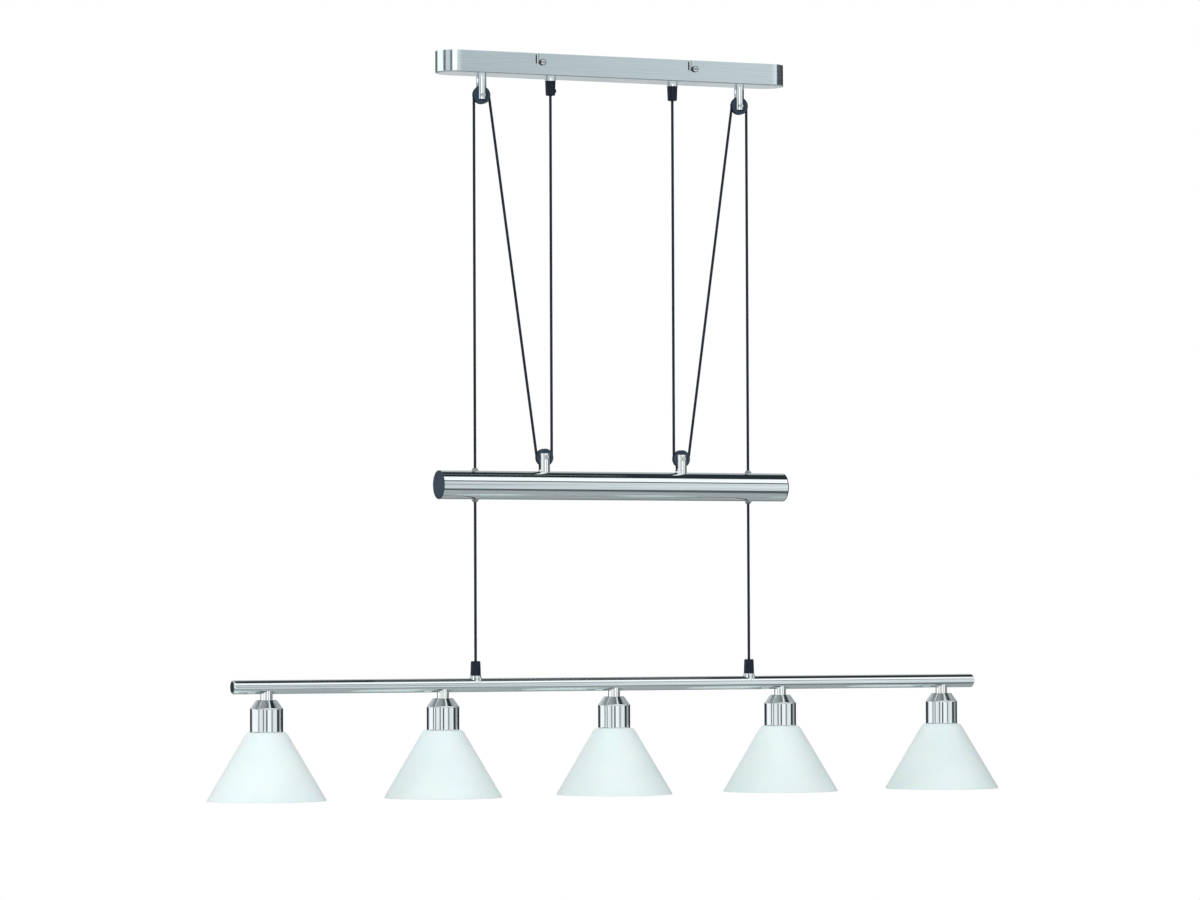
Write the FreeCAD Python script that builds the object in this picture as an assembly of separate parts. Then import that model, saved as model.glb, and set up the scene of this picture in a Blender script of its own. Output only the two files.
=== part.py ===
"""Rise and fall pendant: a bar of five opal glass shades hung from a long ceiling
canopy by two cords.  Each cord starts in a gland under the canopy, runs down and
round a pulley on a heavy tube, back up and over a pulley under the canopy, and down
through the heavy tube to the lamp bar.  The tube balances the bar: it rises by half
of what the bar goes down.

Frame: origin on the ceiling at the middle of the canopy, +X along the lamp bar,
+Z up.  Millimetres.  The shown height is the height in the photograph.
"""
import FreeCAD, Part
import math
import os

V = FreeCAD.Vector
AX, AY, AZ = V(1, 0, 0), V(0, 1, 0), V(0, 0, 1)

# ---- heights of the hung parts below the ceiling, as shown
WEIGHT_DROP = 534.0            # ceiling to the axis of the balance tube
BAR_DROP = 780.0               # ceiling to the axis of the lamp bar

# ---- fits
RUN_GAP = 0.05                 # radial, pulley on its axle and screw shank in its hole
THREAD_GAP = 0.1               # radial, stud or nipple in its nut, hole or tapped part
SEAT_GAP = 0.05                # coped or pushed-in curved seats
CORD_GAP = 0.3                 # between a cord and the pulley groove round it
SHELL_GAP = 0.3                # bracket tabs inside the canopy wall

# ---- canopy
CANOPY_LENGTH = 472.0
CANOPY_DEPTH = 47.0
CANOPY_HEIGHT = 27.0
CANOPY_WALL = 1.0
CANOPY_EDGE_R = 1.5

# ---- bracket on the ceiling
BRACKET_LENGTH = 300.0
BRACKET_WIDTH = 34.0
BRACKET_SHEET = 2.0
TAB_WIDTH = 14.0
TAB_DROP = 18.0
SLOT_SPACING = 250.0           # ceiling screw slots, middle to middle
SLOT_LENGTH = 16.0
SLOT_WIDTH = 5.5
CABLE_X = -40.0                # mains cable hole
CABLE_Y = 7.0
CABLE_R = 5.0

# ---- cover screws
COVER_SCREW_X = 104.0
COVER_SCREW_DROP = 11.0
COVER_SCREW_R = 2.0
COVER_HEAD_R = 4.0
COVER_HEAD_T = 2.4
COVER_SCREW_TAIL = 3.0         # shank that shows inside the tab
COVER_SLOT_R = 2.4             # half the width of the cover's slots
BAYONET_SHIFT = 7.0            # from the slot's open leg to the screw
DRIVER_SLOT = 1.0              # width and depth of the screwdriver slots

# ---- connector block
BLOCK_LENGTH = 30.0
BLOCK_WIDTH = 18.0
BLOCK_HEIGHT = 16.0
BLOCK_HOLE_R = 2.5
BLOCK_HOLE_PITCH = 10.0

# ---- cord
CORD_R = 1.7
INNER_CORD_X = 83.5            # cord from its canopy gland
OUTER_CORD_X = 186.5           # cord down to the lamp bar
LEAD_DROP = 11.0               # height of the cord's tail inside the canopy
LEAD_BEND_R = 8.0

# ---- pulleys
PULLEY_PITCH_R = 10.0          # to the middle of the cord
PULLEY_RIM_R = 11.0
PULLEY_WIDTH = 6.2
PULLEY_DISH_R = 7.4
PULLEY_HUB_R = 4.2
PULLEY_DISH_DEPTH = 0.8
PULLEY_SIDE_GAP = 0.4

# ---- forked posts that carry the pulleys
UPPER_POST_R = 6.25
LOWER_POST_R = 7.0
UPPER_AXLE_DROP = 25.5         # canopy underside to the pulley's axle
LOWER_AXLE_RISE = 17.0         # top of the balance tube to the pulley's axle
FORK_TIP = 5.0                 # fork beyond the axle
FORK_FLOOR = 15.5              # slot's closed end, from the axle
AXLE_R = 2.0
AXLE_HEAD_R = 2.9
AXLE_HEAD_T = 1.6
AXLE_HEAD_SINK = 1.3
AXLE_END_SINK = 0.8

# ---- threaded studs, nipples and nuts
NIPPLE_R = 5.0
NIPPLE_LENGTH = 7.0
NUT_FLATS = 14.0
NUT_T = 3.0
WEIGHT_STUD_R = 3.0
WEIGHT_STUD_LENGTH = 16.0

# ---- cord glands
COLLAR_R = 6.9
COLLAR_T = 4.4                 # canopy collar
BAR_COLLAR_RISE = 3.0          # bar collar above the bar's top
BAR_COLLAR_FOOT_R = 7.9        # its flared foot
BAR_COLLAR_TOP_R = 6.6
COLLAR_BORE_R = 2.3
GLAND_ROOT_R = 6.5
GLAND_TIP_R = 5.9
GLAND_EDGE_R = 1.2
GLAND_LENGTH = 18.0
GLAND_BORE_R = 1.8
SPIGOT_R = 4.0
SPIGOT_LENGTH = 6.0
CLAMP_SCREW_R = 1.5
CLAMP_HEAD_R = 2.2
CLAMP_HEAD_T = 2.2
CLAMP_HEAD_SINK = 0.8          # into the gland's side
CLAMP_HEIGHT = 12.0            # from the gland's root
CLAMP_TIP_GAP = 0.15           # screw's tip to the cord

# ---- balance tube
WEIGHT_R = 17.75
WEIGHT_WALL = 1.0
WEIGHT_LENGTH = 468.0          # tube without its caps
WEIGHT_CAP_T = 1.5
WEIGHT_PLUG_LENGTH = 12.0
CORE_R = 16.4
CORE_GAP = 3.0                 # middle core to the cord's bush
SLUG_GAP = 1.0                 # end slug to the cord's bush
BUSH_R = 3.5
BUSH_BORE_R = 2.3
BUSH_BRIM_R = 5.0              # brim that sits on the tube
BUSH_TIP_R = 2.8
BUSH_RISE = 3.2

# ---- lamp bar
BAR_R = 8.5
BAR_WALL = 0.8
BAR_LENGTH = 1002.0            # tube without its caps
BAR_CAP_T = 3.0
BAR_CAP_EDGE = 1.6
BAR_PLUG_LENGTH = 10.0
WIRE_R = 2.0
DROP_WIRE_R = 1.2

# ---- lamps
LAMP_COUNT = 5
LAMP_END = 41.0                # tube's end to the first and the last lamp
NECK_R = 7.25
NECK_BORE_R = 3.0
NECK_LENGTH = 7.2              # bar's underside to the cup's top
CUP_R = 20.0
CUP_TOP_R = 12.5
CUP_CHAMFER = 10.5
CUP_HEIGHT = 39.0
CUP_WALL = 0.8
CUP_TOP_T = 1.0
HOLDER_BOSS_R = 8.0
HOLDER_BOSS_T = 7.0
HOLDER_R = 14.0
HOLDER_CAP_R = 13.0
HOLDER_CAP_LENGTH = 20.0
HOLDER_LENGTH = 56.0
HOLDER_CHAMBER_R = 8.0
SOCKET_R = 7.0
SOCKET_DEPTH = 22.0
SOCKET_FLOOR = 3.0
SHADE_RIM_R = 72.5
SHADE_SHOULDER_R = 25.5
SHADE_HEIGHT = 82.5
SHADE_SHOULDER_DROP = 2.5
SHADE_GLASS = 2.4
SHADE_FILLET = 5.0
RING_R = 19.5
RING_T = 6.0
RING_GRIP = 1.0                # depth of the ring's finger notches

# ---- worked out from the sizes above
CANOPY_FLOOR = -CANOPY_HEIGHT
UPPER_AXLE_Z = CANOPY_FLOOR - UPPER_AXLE_DROP
WEIGHT_Z = -WEIGHT_DROP
WEIGHT_TOP = WEIGHT_Z + WEIGHT_R
LOWER_AXLE_Z = WEIGHT_TOP + LOWER_AXLE_RISE
UPPER_AXLE_X = OUTER_CORD_X - PULLEY_PITCH_R
LOWER_AXLE_X = INNER_CORD_X + PULLEY_PITCH_R
BAR_Z = -BAR_DROP
CUP_TOP = BAR_Z - BAR_R - NECK_LENGTH
CUP_FLOOR = CUP_TOP - CUP_HEIGHT
HOLDER_TOP = CUP_TOP - CUP_TOP_T - NUT_T
GLAND_TIP_Z = CANOPY_FLOOR - COLLAR_T - GLAND_LENGTH
BAR_COLLAR_TOP = BAR_Z + BAR_R + BAR_COLLAR_RISE
BAR_GLAND_TIP_Z = BAR_COLLAR_TOP + GLAND_LENGTH
FORK_SLOT = PULLEY_WIDTH + 2 * PULLEY_SIDE_GAP
BIG = 4 * CUP_R                # longer than any cut made with it


def cylinder(radius, start, end):
    """Solid round bar between two points."""
    axis = end - start
    return Part.makeCylinder(radius, axis.Length, start, axis)


def box(x0, x1, y0, y1, z0, z1):
    return Part.makeBox(x1 - x0, y1 - y0, z1 - z0, V(x0, y0, z0))


def revolve_z(points, x=0.0):
    """Solid of revolution about a vertical axis from (radius, z) corners."""
    corners = [V(r, 0, z) for r, z in points]
    face = Part.Face(Part.makePolygon(corners + corners[:1]))
    solid = face.revolve(V(0, 0, 0), AZ, 360)
    solid.translate(V(x, 0, 0))
    return solid


def edges_at(solid, z):
    """Full circles of a solid that lie at one height."""
    return [e for e in solid.Edges if len(e.Vertexes) == 1 and abs(e.Vertexes[0].Z - z) < 1e-6]


def along_z(shape, x, z):
    shape.translate(V(x, 0, z))
    return shape


def mirrored(shape):
    """The right-hand twin of a left-hand piece."""
    return shape.mirror(V(0, 0, 0), AX)


def group(shapes):
    return Part.makeCompound(shapes)


def obround(length, depth, z0, z1):
    """Upright prism with straight sides and half-round ends."""
    r = depth / 2
    a = length / 2 - r
    sides = [
        Part.LineSegment(V(-a, -r, z0), V(a, -r, z0)).toShape(),
        Part.Arc(V(a, -r, z0), V(a + r, 0, z0), V(a, r, z0)).toShape(),
        Part.LineSegment(V(a, r, z0), V(-a, r, z0)).toShape(),
        Part.Arc(V(-a, r, z0), V(-a - r, 0, z0), V(-a, -r, z0)).toShape(),
    ]
    return Part.Face(Part.Wire(sides)).extrude(V(0, 0, z1 - z0))


def hex_nut(x, z_low, bore_r):
    """Hexagon nut round a vertical thread."""
    corner = NUT_FLATS / math.sqrt(3)
    points = [V(corner * math.cos(math.radians(a)), corner * math.sin(math.radians(a)), 0)
              for a in range(0, 361, 60)]
    nut = Part.Face(Part.makePolygon(points)).extrude(V(0, 0, NUT_T))
    nut = nut.cut(Part.makeCylinder(bore_r, NUT_T))
    return along_z(nut, x, z_low)


# ---------------------------------------------------------------- canopy
def bayonet_slot(x, side):
    """L-shaped slot, open at the top of the wall, that the cover hangs by."""
    half = COVER_SLOT_R
    y0 = side * CANOPY_DEPTH / 2 - 2 * CANOPY_WALL
    y1 = y0 + 4 * CANOPY_WALL
    z = -COVER_SCREW_DROP
    leg_x = x - BAYONET_SHIFT
    slot = box(leg_x - half, leg_x + half, y0, y1, z, CANOPY_WALL)
    for round_x in (leg_x, x):
        slot = slot.fuse(cylinder(half, V(round_x, y0, z), V(round_x, y1, z)))
    return slot.fuse(box(leg_x, x, y0, y1, z - half, z + half))


def canopy_cover():
    cover = obround(CANOPY_LENGTH, CANOPY_DEPTH, CANOPY_FLOOR, 0)
    rim = [e for e in cover.Edges if all(abs(v.Z - CANOPY_FLOOR) < 1e-6 for v in e.Vertexes)]
    cover = cover.makeFillet(CANOPY_EDGE_R, rim)
    inside = obround(CANOPY_LENGTH - 2 * CANOPY_WALL, CANOPY_DEPTH - 2 * CANOPY_WALL,
                     CANOPY_FLOOR + CANOPY_WALL, CANOPY_WALL)
    cover = cover.cut(inside)
    for x in (-UPPER_AXLE_X, -INNER_CORD_X, INNER_CORD_X, UPPER_AXLE_X):
        hole = cylinder(NIPPLE_R + THREAD_GAP, V(x, 0, CANOPY_FLOOR - CANOPY_WALL),
                        V(x, 0, CANOPY_FLOOR + 2 * CANOPY_WALL))
        cover = cover.cut(hole)
    for x in (-COVER_SCREW_X, COVER_SCREW_X):
        for side in (-1, 1):
            cover = cover.cut(bayonet_slot(x, side))
    return cover


def mounting_bracket():
    """Flat steel strip against the ceiling with four tabs bent down."""
    reach = CANOPY_DEPTH / 2 - CANOPY_WALL - SHELL_GAP
    strip = box(-BRACKET_LENGTH / 2, BRACKET_LENGTH / 2, -BRACKET_WIDTH / 2, BRACKET_WIDTH / 2,
                -BRACKET_SHEET, 0)
    for x in (-COVER_SCREW_X, COVER_SCREW_X):
        strip = strip.fuse(box(x - TAB_WIDTH / 2, x + TAB_WIDTH / 2, -reach, reach,
                               -BRACKET_SHEET, 0))
        for side in (-1, 1):
            y = side * (reach - BRACKET_SHEET / 2)
            strip = strip.fuse(box(x - TAB_WIDTH / 2, x + TAB_WIDTH / 2, y - BRACKET_SHEET / 2,
                                   y + BRACKET_SHEET / 2, -TAB_DROP, 0))
    strip = strip.removeSplitter()
    for x in (-COVER_SCREW_X, COVER_SCREW_X):
        strip = strip.cut(cylinder(COVER_SCREW_R + RUN_GAP, V(x, -BIG, -COVER_SCREW_DROP),
                                   V(x, BIG, -COVER_SCREW_DROP)))
    for x in (-SLOT_SPACING / 2, SLOT_SPACING / 2):
        slot = obround(SLOT_LENGTH, SLOT_WIDTH, -2 * BRACKET_SHEET, BRACKET_SHEET)
        slot.translate(V(x, 0, 0))
        strip = strip.cut(slot)
    return strip.cut(cylinder(CABLE_R, V(CABLE_X, CABLE_Y, -2 * BRACKET_SHEET),
                              V(CABLE_X, CABLE_Y, BRACKET_SHEET)))


def cover_screw(x, side):
    """Slotted pan-head screw from the cover's face into a bracket tab."""
    wall_y = CANOPY_DEPTH / 2
    tail_y = wall_y - CANOPY_WALL - SHELL_GAP - BRACKET_SHEET - COVER_SCREW_TAIL
    z = -COVER_SCREW_DROP
    shank = cylinder(COVER_SCREW_R, V(x, side * tail_y, z), V(x, side * wall_y, z))
    face_y = wall_y + COVER_HEAD_T
    head = cylinder(COVER_HEAD_R, V(x, side * wall_y, z), V(x, side * face_y, z))
    low = min(side * face_y, side * (face_y - DRIVER_SLOT))
    driver = box(x - COVER_HEAD_R, x + COVER_HEAD_R, low, low + DRIVER_SLOT,
                 z - DRIVER_SLOT / 2, z + DRIVER_SLOT / 2)
    return shank.fuse(head).removeSplitter().cut(driver)


def cover_screws():
    return group([cover_screw(x, side) for x in (-COVER_SCREW_X, COVER_SCREW_X)
                  for side in (-1, 1)])


def connector_block():
    """Insulated block under the bracket where both cords meet the mains cable."""
    z1 = -BRACKET_SHEET
    block = box(-BLOCK_LENGTH / 2, BLOCK_LENGTH / 2, -BLOCK_WIDTH / 2, BLOCK_WIDTH / 2,
                z1 - BLOCK_HEIGHT, z1)
    for x in (-BLOCK_HOLE_PITCH, 0, BLOCK_HOLE_PITCH):
        well = cylinder(BLOCK_HOLE_R, V(x, 0, z1 - BLOCK_HEIGHT), V(x, 0, z1 - BLOCK_HEIGHT / 2))
        block = block.cut(well)
    return block


def canopy_nuts():
    """Four equal nuts inside the canopy: two on the posts, two on the glands."""
    return group([hex_nut(x, CANOPY_FLOOR + CANOPY_WALL, NIPPLE_R + THREAD_GAP)
                  for x in (-UPPER_AXLE_X, -INNER_CORD_X, INNER_CORD_X, UPPER_AXLE_X)])


# ------------------------------------------------- forked posts, axles, pulleys
def fork_post(radius, axle_height):
    """Round post standing on z = 0, slotted from its tip for a pulley."""
    tip = axle_height + FORK_TIP
    post = Part.makeCylinder(radius, tip)
    slot = box(-BIG, BIG, -FORK_SLOT / 2, FORK_SLOT / 2, axle_height - FORK_FLOOR, tip + BIG)
    post = post.cut(slot)
    post = post.cut(cylinder(AXLE_R + RUN_GAP, V(0, -BIG, axle_height), V(0, BIG, axle_height)))
    seat_y = -radius + AXLE_HEAD_SINK
    return post.cut(cylinder(AXLE_HEAD_R + RUN_GAP, V(0, -BIG, axle_height),
                             V(0, seat_y, axle_height)))


def axle_screw(radius, x, z):
    """Slotted axle screw, its head let into the front cheek of the fork."""
    seat_y = -radius + AXLE_HEAD_SINK
    face_y = seat_y - AXLE_HEAD_T
    shank = cylinder(AXLE_R, V(x, seat_y, z), V(x, radius - AXLE_END_SINK, z))
    head = cylinder(AXLE_HEAD_R, V(x, face_y, z), V(x, seat_y, z))
    driver = box(-AXLE_HEAD_R, AXLE_HEAD_R, face_y, face_y + DRIVER_SLOT,
                 -DRIVER_SLOT / 2, DRIVER_SLOT / 2)
    driver.rotate(V(0, 0, 0), AY, 35)
    driver.translate(V(x, 0, z))
    return shank.fuse(head).removeSplitter().cut(driver)


def upper_post():
    post = fork_post(UPPER_POST_R, UPPER_AXLE_DROP)
    post = post.fuse(cylinder(NIPPLE_R, V(0, 0, -NIPPLE_LENGTH), V(0, 0, 0))).removeSplitter()
    post.rotate(V(0, 0, 0), AY, 180)
    return along_z(post, -UPPER_AXLE_X, CANOPY_FLOOR)


def lower_post():
    """Stands on the balance tube, its foot hollowed to the tube's curve."""
    sag = WEIGHT_R - math.sqrt(WEIGHT_R ** 2 - LOWER_POST_R ** 2)
    post = fork_post(LOWER_POST_R, LOWER_AXLE_RISE)
    post = post.fuse(cylinder(LOWER_POST_R, V(0, 0, -sag), V(0, 0, 0))).removeSplitter()
    seat_r = WEIGHT_R + SEAT_GAP
    post = post.cut(cylinder(seat_r, V(-BIG, 0, -WEIGHT_R), V(BIG, 0, -WEIGHT_R)))
    stud = cylinder(WEIGHT_STUD_R, V(0, 0, -WEIGHT_STUD_LENGTH), V(0, 0, SEAT_GAP))
    post = post.fuse(stud).removeSplitter()
    return along_z(post, -LOWER_AXLE_X, WEIGHT_TOP)


def pulley(x, z):
    half = PULLEY_WIDTH / 2
    groove_r = CORD_R + CORD_GAP
    wheel = cylinder(PULLEY_RIM_R, V(0, -half, 0), V(0, half, 0))
    wheel = wheel.cut(Part.makeTorus(PULLEY_PITCH_R, groove_r, V(0, 0, 0), AY))
    mouth = cylinder(PULLEY_RIM_R + 1, V(0, -groove_r, 0), V(0, groove_r, 0))
    mouth = mouth.cut(cylinder(PULLEY_PITCH_R, V(0, -half, 0), V(0, half, 0)))
    wheel = wheel.cut(mouth)
    for side in (-1, 1):
        floor_y = side * (half - PULLEY_DISH_DEPTH)
        dish = cylinder(PULLEY_DISH_R, V(0, floor_y, 0), V(0, side * PULLEY_WIDTH, 0))
        dish = dish.cut(cylinder(PULLEY_HUB_R, V(0, floor_y, 0), V(0, side * PULLEY_WIDTH, 0)))
        wheel = wheel.cut(dish)
    wheel = wheel.cut(cylinder(AXLE_R + RUN_GAP, V(0, -half, 0), V(0, half, 0)))
    wheel.translate(V(x, 0, z))
    return wheel


# ---------------------------------------------------------------- cord glands
def canopy_collar():
    """Metal collar with a hollow nipple up through the canopy."""
    top = CANOPY_FLOOR
    low = top - COLLAR_T
    collar = revolve_z([
        (COLLAR_BORE_R, top + NIPPLE_LENGTH), (NIPPLE_R, top + NIPPLE_LENGTH), (NIPPLE_R, top),
        (COLLAR_R, top), (COLLAR_R, low), (SPIGOT_R, low), (SPIGOT_R, low - SPIGOT_LENGTH),
        (COLLAR_BORE_R, low - SPIGOT_LENGTH)])
    return along_z(collar, -INNER_CORD_X, 0)


def gland(x, root_z, way, facing):
    """Black cord grip that tapers from root_z downwards (way -1) or upwards (+1).

    Its clamp screw faces that many degrees from +X towards +Y.
    """
    tip_z = root_z + way * GLAND_LENGTH
    deep_z = root_z + way * SPIGOT_LENGTH
    body = revolve_z([
        (SPIGOT_R + SEAT_GAP, root_z), (GLAND_ROOT_R, root_z), (GLAND_TIP_R, tip_z),
        (GLAND_BORE_R, tip_z), (GLAND_BORE_R, deep_z), (SPIGOT_R + SEAT_GAP, deep_z)])
    body = body.makeFillet(GLAND_EDGE_R, [e for e in edges_at(body, tip_z)
                                          if abs(e.Curve.Radius - GLAND_TIP_R) < 1e-6])
    z = root_z + way * CLAMP_HEIGHT
    body = body.cut(cylinder(CLAMP_SCREW_R + RUN_GAP, V(0, 0, z),
                             V(GLAND_ROOT_R + CLAMP_HEAD_T, 0, z)))
    seat = cylinder(CLAMP_HEAD_R + RUN_GAP, V(GLAND_TIP_R - CLAMP_HEAD_SINK, 0, z),
                    V(GLAND_ROOT_R + CLAMP_HEAD_T, 0, z))
    body = body.cut(seat)
    body.rotate(V(0, 0, 0), AZ, facing)
    return along_z(body, x, 0)


def clamp_screw(x, root_z, way, facing):
    """Small slotted screw that grips the cord in its gland."""
    z = root_z + way * CLAMP_HEIGHT
    seat_x = GLAND_TIP_R - CLAMP_HEAD_SINK
    face_x = seat_x + CLAMP_HEAD_T
    shank = cylinder(CLAMP_SCREW_R, V(CORD_R + CLAMP_TIP_GAP, 0, z), V(seat_x, 0, z))
    head = cylinder(CLAMP_HEAD_R, V(seat_x, 0, z), V(face_x, 0, z))
    driver = box(face_x - DRIVER_SLOT / 2, face_x, -BIG, BIG, z - DRIVER_SLOT / 2,
                 z + DRIVER_SLOT / 2)
    screw = shank.fuse(head).removeSplitter().cut(driver)
    screw.rotate(V(0, 0, 0), AZ, facing)
    return along_z(screw, x, 0)


def bar_collar():
    """Metal saddle on the lamp bar that the gland stands on."""
    top = BAR_COLLAR_TOP
    foot = BAR_Z + BAR_R - BAR_COLLAR_RISE
    collar = revolve_z([
        (COLLAR_BORE_R, BAR_Z), (BAR_COLLAR_FOOT_R, BAR_Z), (BAR_COLLAR_FOOT_R, foot),
        (BAR_COLLAR_TOP_R, top), (SPIGOT_R, top), (SPIGOT_R, top + SPIGOT_LENGTH),
        (COLLAR_BORE_R, top + SPIGOT_LENGTH)])
    collar = collar.cut(cylinder(BAR_R + SEAT_GAP, V(-BIG, 0, BAR_Z), V(BIG, 0, BAR_Z)))
    return along_z(collar, -OUTER_CORD_X, 0)


# ---------------------------------------------------------------- the two cords
def diagonal_angle():
    """Lean from the vertical of the cord between a lower and an upper pulley."""
    dx = UPPER_AXLE_X - LOWER_AXLE_X
    dz = UPPER_AXLE_Z - LOWER_AXLE_Z
    return math.atan2(dx, dz) - math.asin(2 * PULLEY_PITCH_R / math.hypot(dx, dz))


def wrap(center, start_degrees, turn_degrees):
    """Cord bent round a pulley, from a start angle in the XZ plane.

    Angles run from +X towards +Z, and a negative turn goes round the other way.
    """
    a = math.radians(start_degrees)
    start = center + V(math.cos(a), 0, math.sin(a)) * PULLEY_PITCH_R
    tangent = V(-math.sin(a), 0, math.cos(a))
    disc = Part.Face(Part.Wire(Part.makeCircle(CORD_R, start, tangent)))
    return disc.revolve(center, AY * -1, turn_degrees)


def cord_fall():
    """From the canopy gland straight down to the lower pulley."""
    return cylinder(CORD_R, V(-INNER_CORD_X, 0, LOWER_AXLE_Z), V(-INNER_CORD_X, 0, GLAND_TIP_Z))


def cord_diagonal():
    """From the lower pulley up to the upper pulley."""
    lean = diagonal_angle()
    foot = V(math.cos(lean), 0, math.sin(lean)) * PULLEY_PITCH_R
    upper = V(-UPPER_AXLE_X, 0, UPPER_AXLE_Z) + foot
    lower = V(-LOWER_AXLE_X, 0, LOWER_AXLE_Z) - foot
    return cylinder(CORD_R, lower, upper)


def cord_drop():
    """From the upper pulley down through the balance tube to the bar's gland."""
    return cylinder(CORD_R, V(-OUTER_CORD_X, 0, BAR_GLAND_TIP_Z), V(-OUTER_CORD_X, 0, UPPER_AXLE_Z))


def upper_wrap():
    lean = math.degrees(diagonal_angle())
    return wrap(V(-UPPER_AXLE_X, 0, UPPER_AXLE_Z), lean, 180 - lean)


def lower_wrap():
    lean = math.degrees(diagonal_angle())
    return wrap(V(-LOWER_AXLE_X, 0, LOWER_AXLE_Z), 180 + lean, 180 - lean)


def canopy_lead():
    """The cord's tail: through gland and collar, then along to the connector block."""
    x = -INNER_CORD_X
    z = -LEAD_DROP
    r = LEAD_BEND_R
    s = r * (1 - math.sqrt(0.5))
    path = Part.Wire([
        Part.LineSegment(V(x, 0, GLAND_TIP_Z), V(x, 0, z - r)).toShape(),
        Part.Arc(V(x, 0, z - r), V(x + s, 0, z - s), V(x + r, 0, z)).toShape(),
        Part.LineSegment(V(x + r, 0, z), V(-BLOCK_LENGTH / 2, 0, z)).toShape()])
    section = Part.Wire(Part.makeCircle(CORD_R, V(x, 0, GLAND_TIP_Z), AZ))
    return path.makePipeShell([section], True, False)


# ---------------------------------------------------------------- balance tube
def weight_tube():
    half = WEIGHT_LENGTH / 2
    tube = cylinder(WEIGHT_R, V(-half, 0, WEIGHT_Z), V(half, 0, WEIGHT_Z))
    tube = tube.cut(cylinder(WEIGHT_R - WEIGHT_WALL, V(-half, 0, WEIGHT_Z), V(half, 0, WEIGHT_Z)))
    for x in (-OUTER_CORD_X, OUTER_CORD_X):
        tube = tube.cut(cylinder(BUSH_R + SEAT_GAP, V(x, 0, WEIGHT_Z - BIG), V(x, 0, WEIGHT_Z + BIG)))
    for x in (-LOWER_AXLE_X, LOWER_AXLE_X):
        tube = tube.cut(cylinder(WEIGHT_STUD_R + THREAD_GAP, V(x, 0, WEIGHT_Z),
                                 V(x, 0, WEIGHT_Z + BIG)))
    return tube


def weight_cores():
    """Steel bar inside the tube, tapped for the lower posts, and a slug at each end."""
    half = OUTER_CORD_X - BUSH_R - CORE_GAP
    core = cylinder(CORE_R, V(-half, 0, WEIGHT_Z), V(half, 0, WEIGHT_Z))
    for x in (-LOWER_AXLE_X, LOWER_AXLE_X):
        tip = V(x, 0, WEIGHT_TOP - WEIGHT_STUD_LENGTH)
        core = core.cut(cylinder(WEIGHT_STUD_R + THREAD_GAP, tip, V(x, 0, WEIGHT_TOP)))
    near = OUTER_CORD_X + BUSH_R + SLUG_GAP
    far = WEIGHT_LENGTH / 2 - WEIGHT_PLUG_LENGTH
    slugs = [cylinder(CORE_R, V(side * near, 0, WEIGHT_Z), V(side * far, 0, WEIGHT_Z))
             for side in (-1, 1)]
    return group([core] + slugs)


def weight_cap():
    """Black end plug with a slightly domed face."""
    x = -WEIGHT_LENGTH / 2
    disc = cylinder(WEIGHT_R, V(x - WEIGHT_CAP_T, 0, WEIGHT_Z), V(x, 0, WEIGHT_Z))
    rim = [e for e in disc.Edges if all(abs(v.X - (x - WEIGHT_CAP_T)) < 1e-6 for v in e.Vertexes)]
    disc = disc.makeFillet(WEIGHT_CAP_T / 2, rim)
    plug = cylinder(WEIGHT_R - WEIGHT_WALL - SEAT_GAP, V(x, 0, WEIGHT_Z),
                    V(x + WEIGHT_PLUG_LENGTH, 0, WEIGHT_Z))
    return disc.fuse(plug).removeSplitter()


def cord_bush(way):
    """Clear bush with a low pointed brim; upper and lower one meet on the tube's axis."""
    tip = WEIGHT_Z + way * (WEIGHT_R + BUSH_RISE)
    root = WEIGHT_Z + way * WEIGHT_R
    low = WEIGHT_Z + way * math.sqrt(WEIGHT_R ** 2 - BUSH_BRIM_R ** 2)
    brim = revolve_z([
        (BUSH_BORE_R, low), (BUSH_BRIM_R, low), (BUSH_TIP_R, tip), (BUSH_BORE_R, tip)])
    brim = brim.cut(cylinder(WEIGHT_R + SEAT_GAP, V(-BIG, 0, WEIGHT_Z), V(BIG, 0, WEIGHT_Z)))
    sleeve = revolve_z([
        (BUSH_BORE_R, WEIGHT_Z), (BUSH_R, WEIGHT_Z), (BUSH_R, root + way * SEAT_GAP),
        (BUSH_BORE_R, root + way * SEAT_GAP)])
    return along_z(brim.fuse(sleeve).removeSplitter(), -OUTER_CORD_X, 0)


# ---------------------------------------------------------------- lamp bar
def lamp_positions():
    reach = BAR_LENGTH / 2 - LAMP_END
    return [reach * (2 * i / (LAMP_COUNT - 1) - 1) for i in range(LAMP_COUNT)]


def bar_tube():
    half = BAR_LENGTH / 2
    tube = cylinder(BAR_R, V(-half, 0, BAR_Z), V(half, 0, BAR_Z))
    tube = tube.cut(cylinder(BAR_R - BAR_WALL, V(-half, 0, BAR_Z), V(half, 0, BAR_Z)))
    for x in lamp_positions():
        tube = tube.cut(cylinder(NECK_BORE_R, V(x, 0, BAR_Z - BIG), V(x, 0, BAR_Z)))
    for x in (-OUTER_CORD_X, OUTER_CORD_X):
        tube = tube.cut(cylinder(COLLAR_BORE_R, V(x, 0, BAR_Z), V(x, 0, BAR_Z + BIG)))
    return tube


def bar_cap():
    """Metal end plug with a rounded edge and a fine seam to the tube."""
    x = -BAR_LENGTH / 2
    disc = cylinder(BAR_R, V(x - BAR_CAP_T, 0, BAR_Z), V(x, 0, BAR_Z))
    rim = [e for e in disc.Edges if all(abs(v.X - (x - BAR_CAP_T)) < 1e-6 for v in e.Vertexes)]
    disc = disc.makeFillet(BAR_CAP_EDGE, rim)
    plug = cylinder(BAR_R - BAR_WALL - SEAT_GAP, V(x, 0, BAR_Z), V(x + BAR_PLUG_LENGTH, 0, BAR_Z))
    return disc.fuse(plug).removeSplitter()


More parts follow.
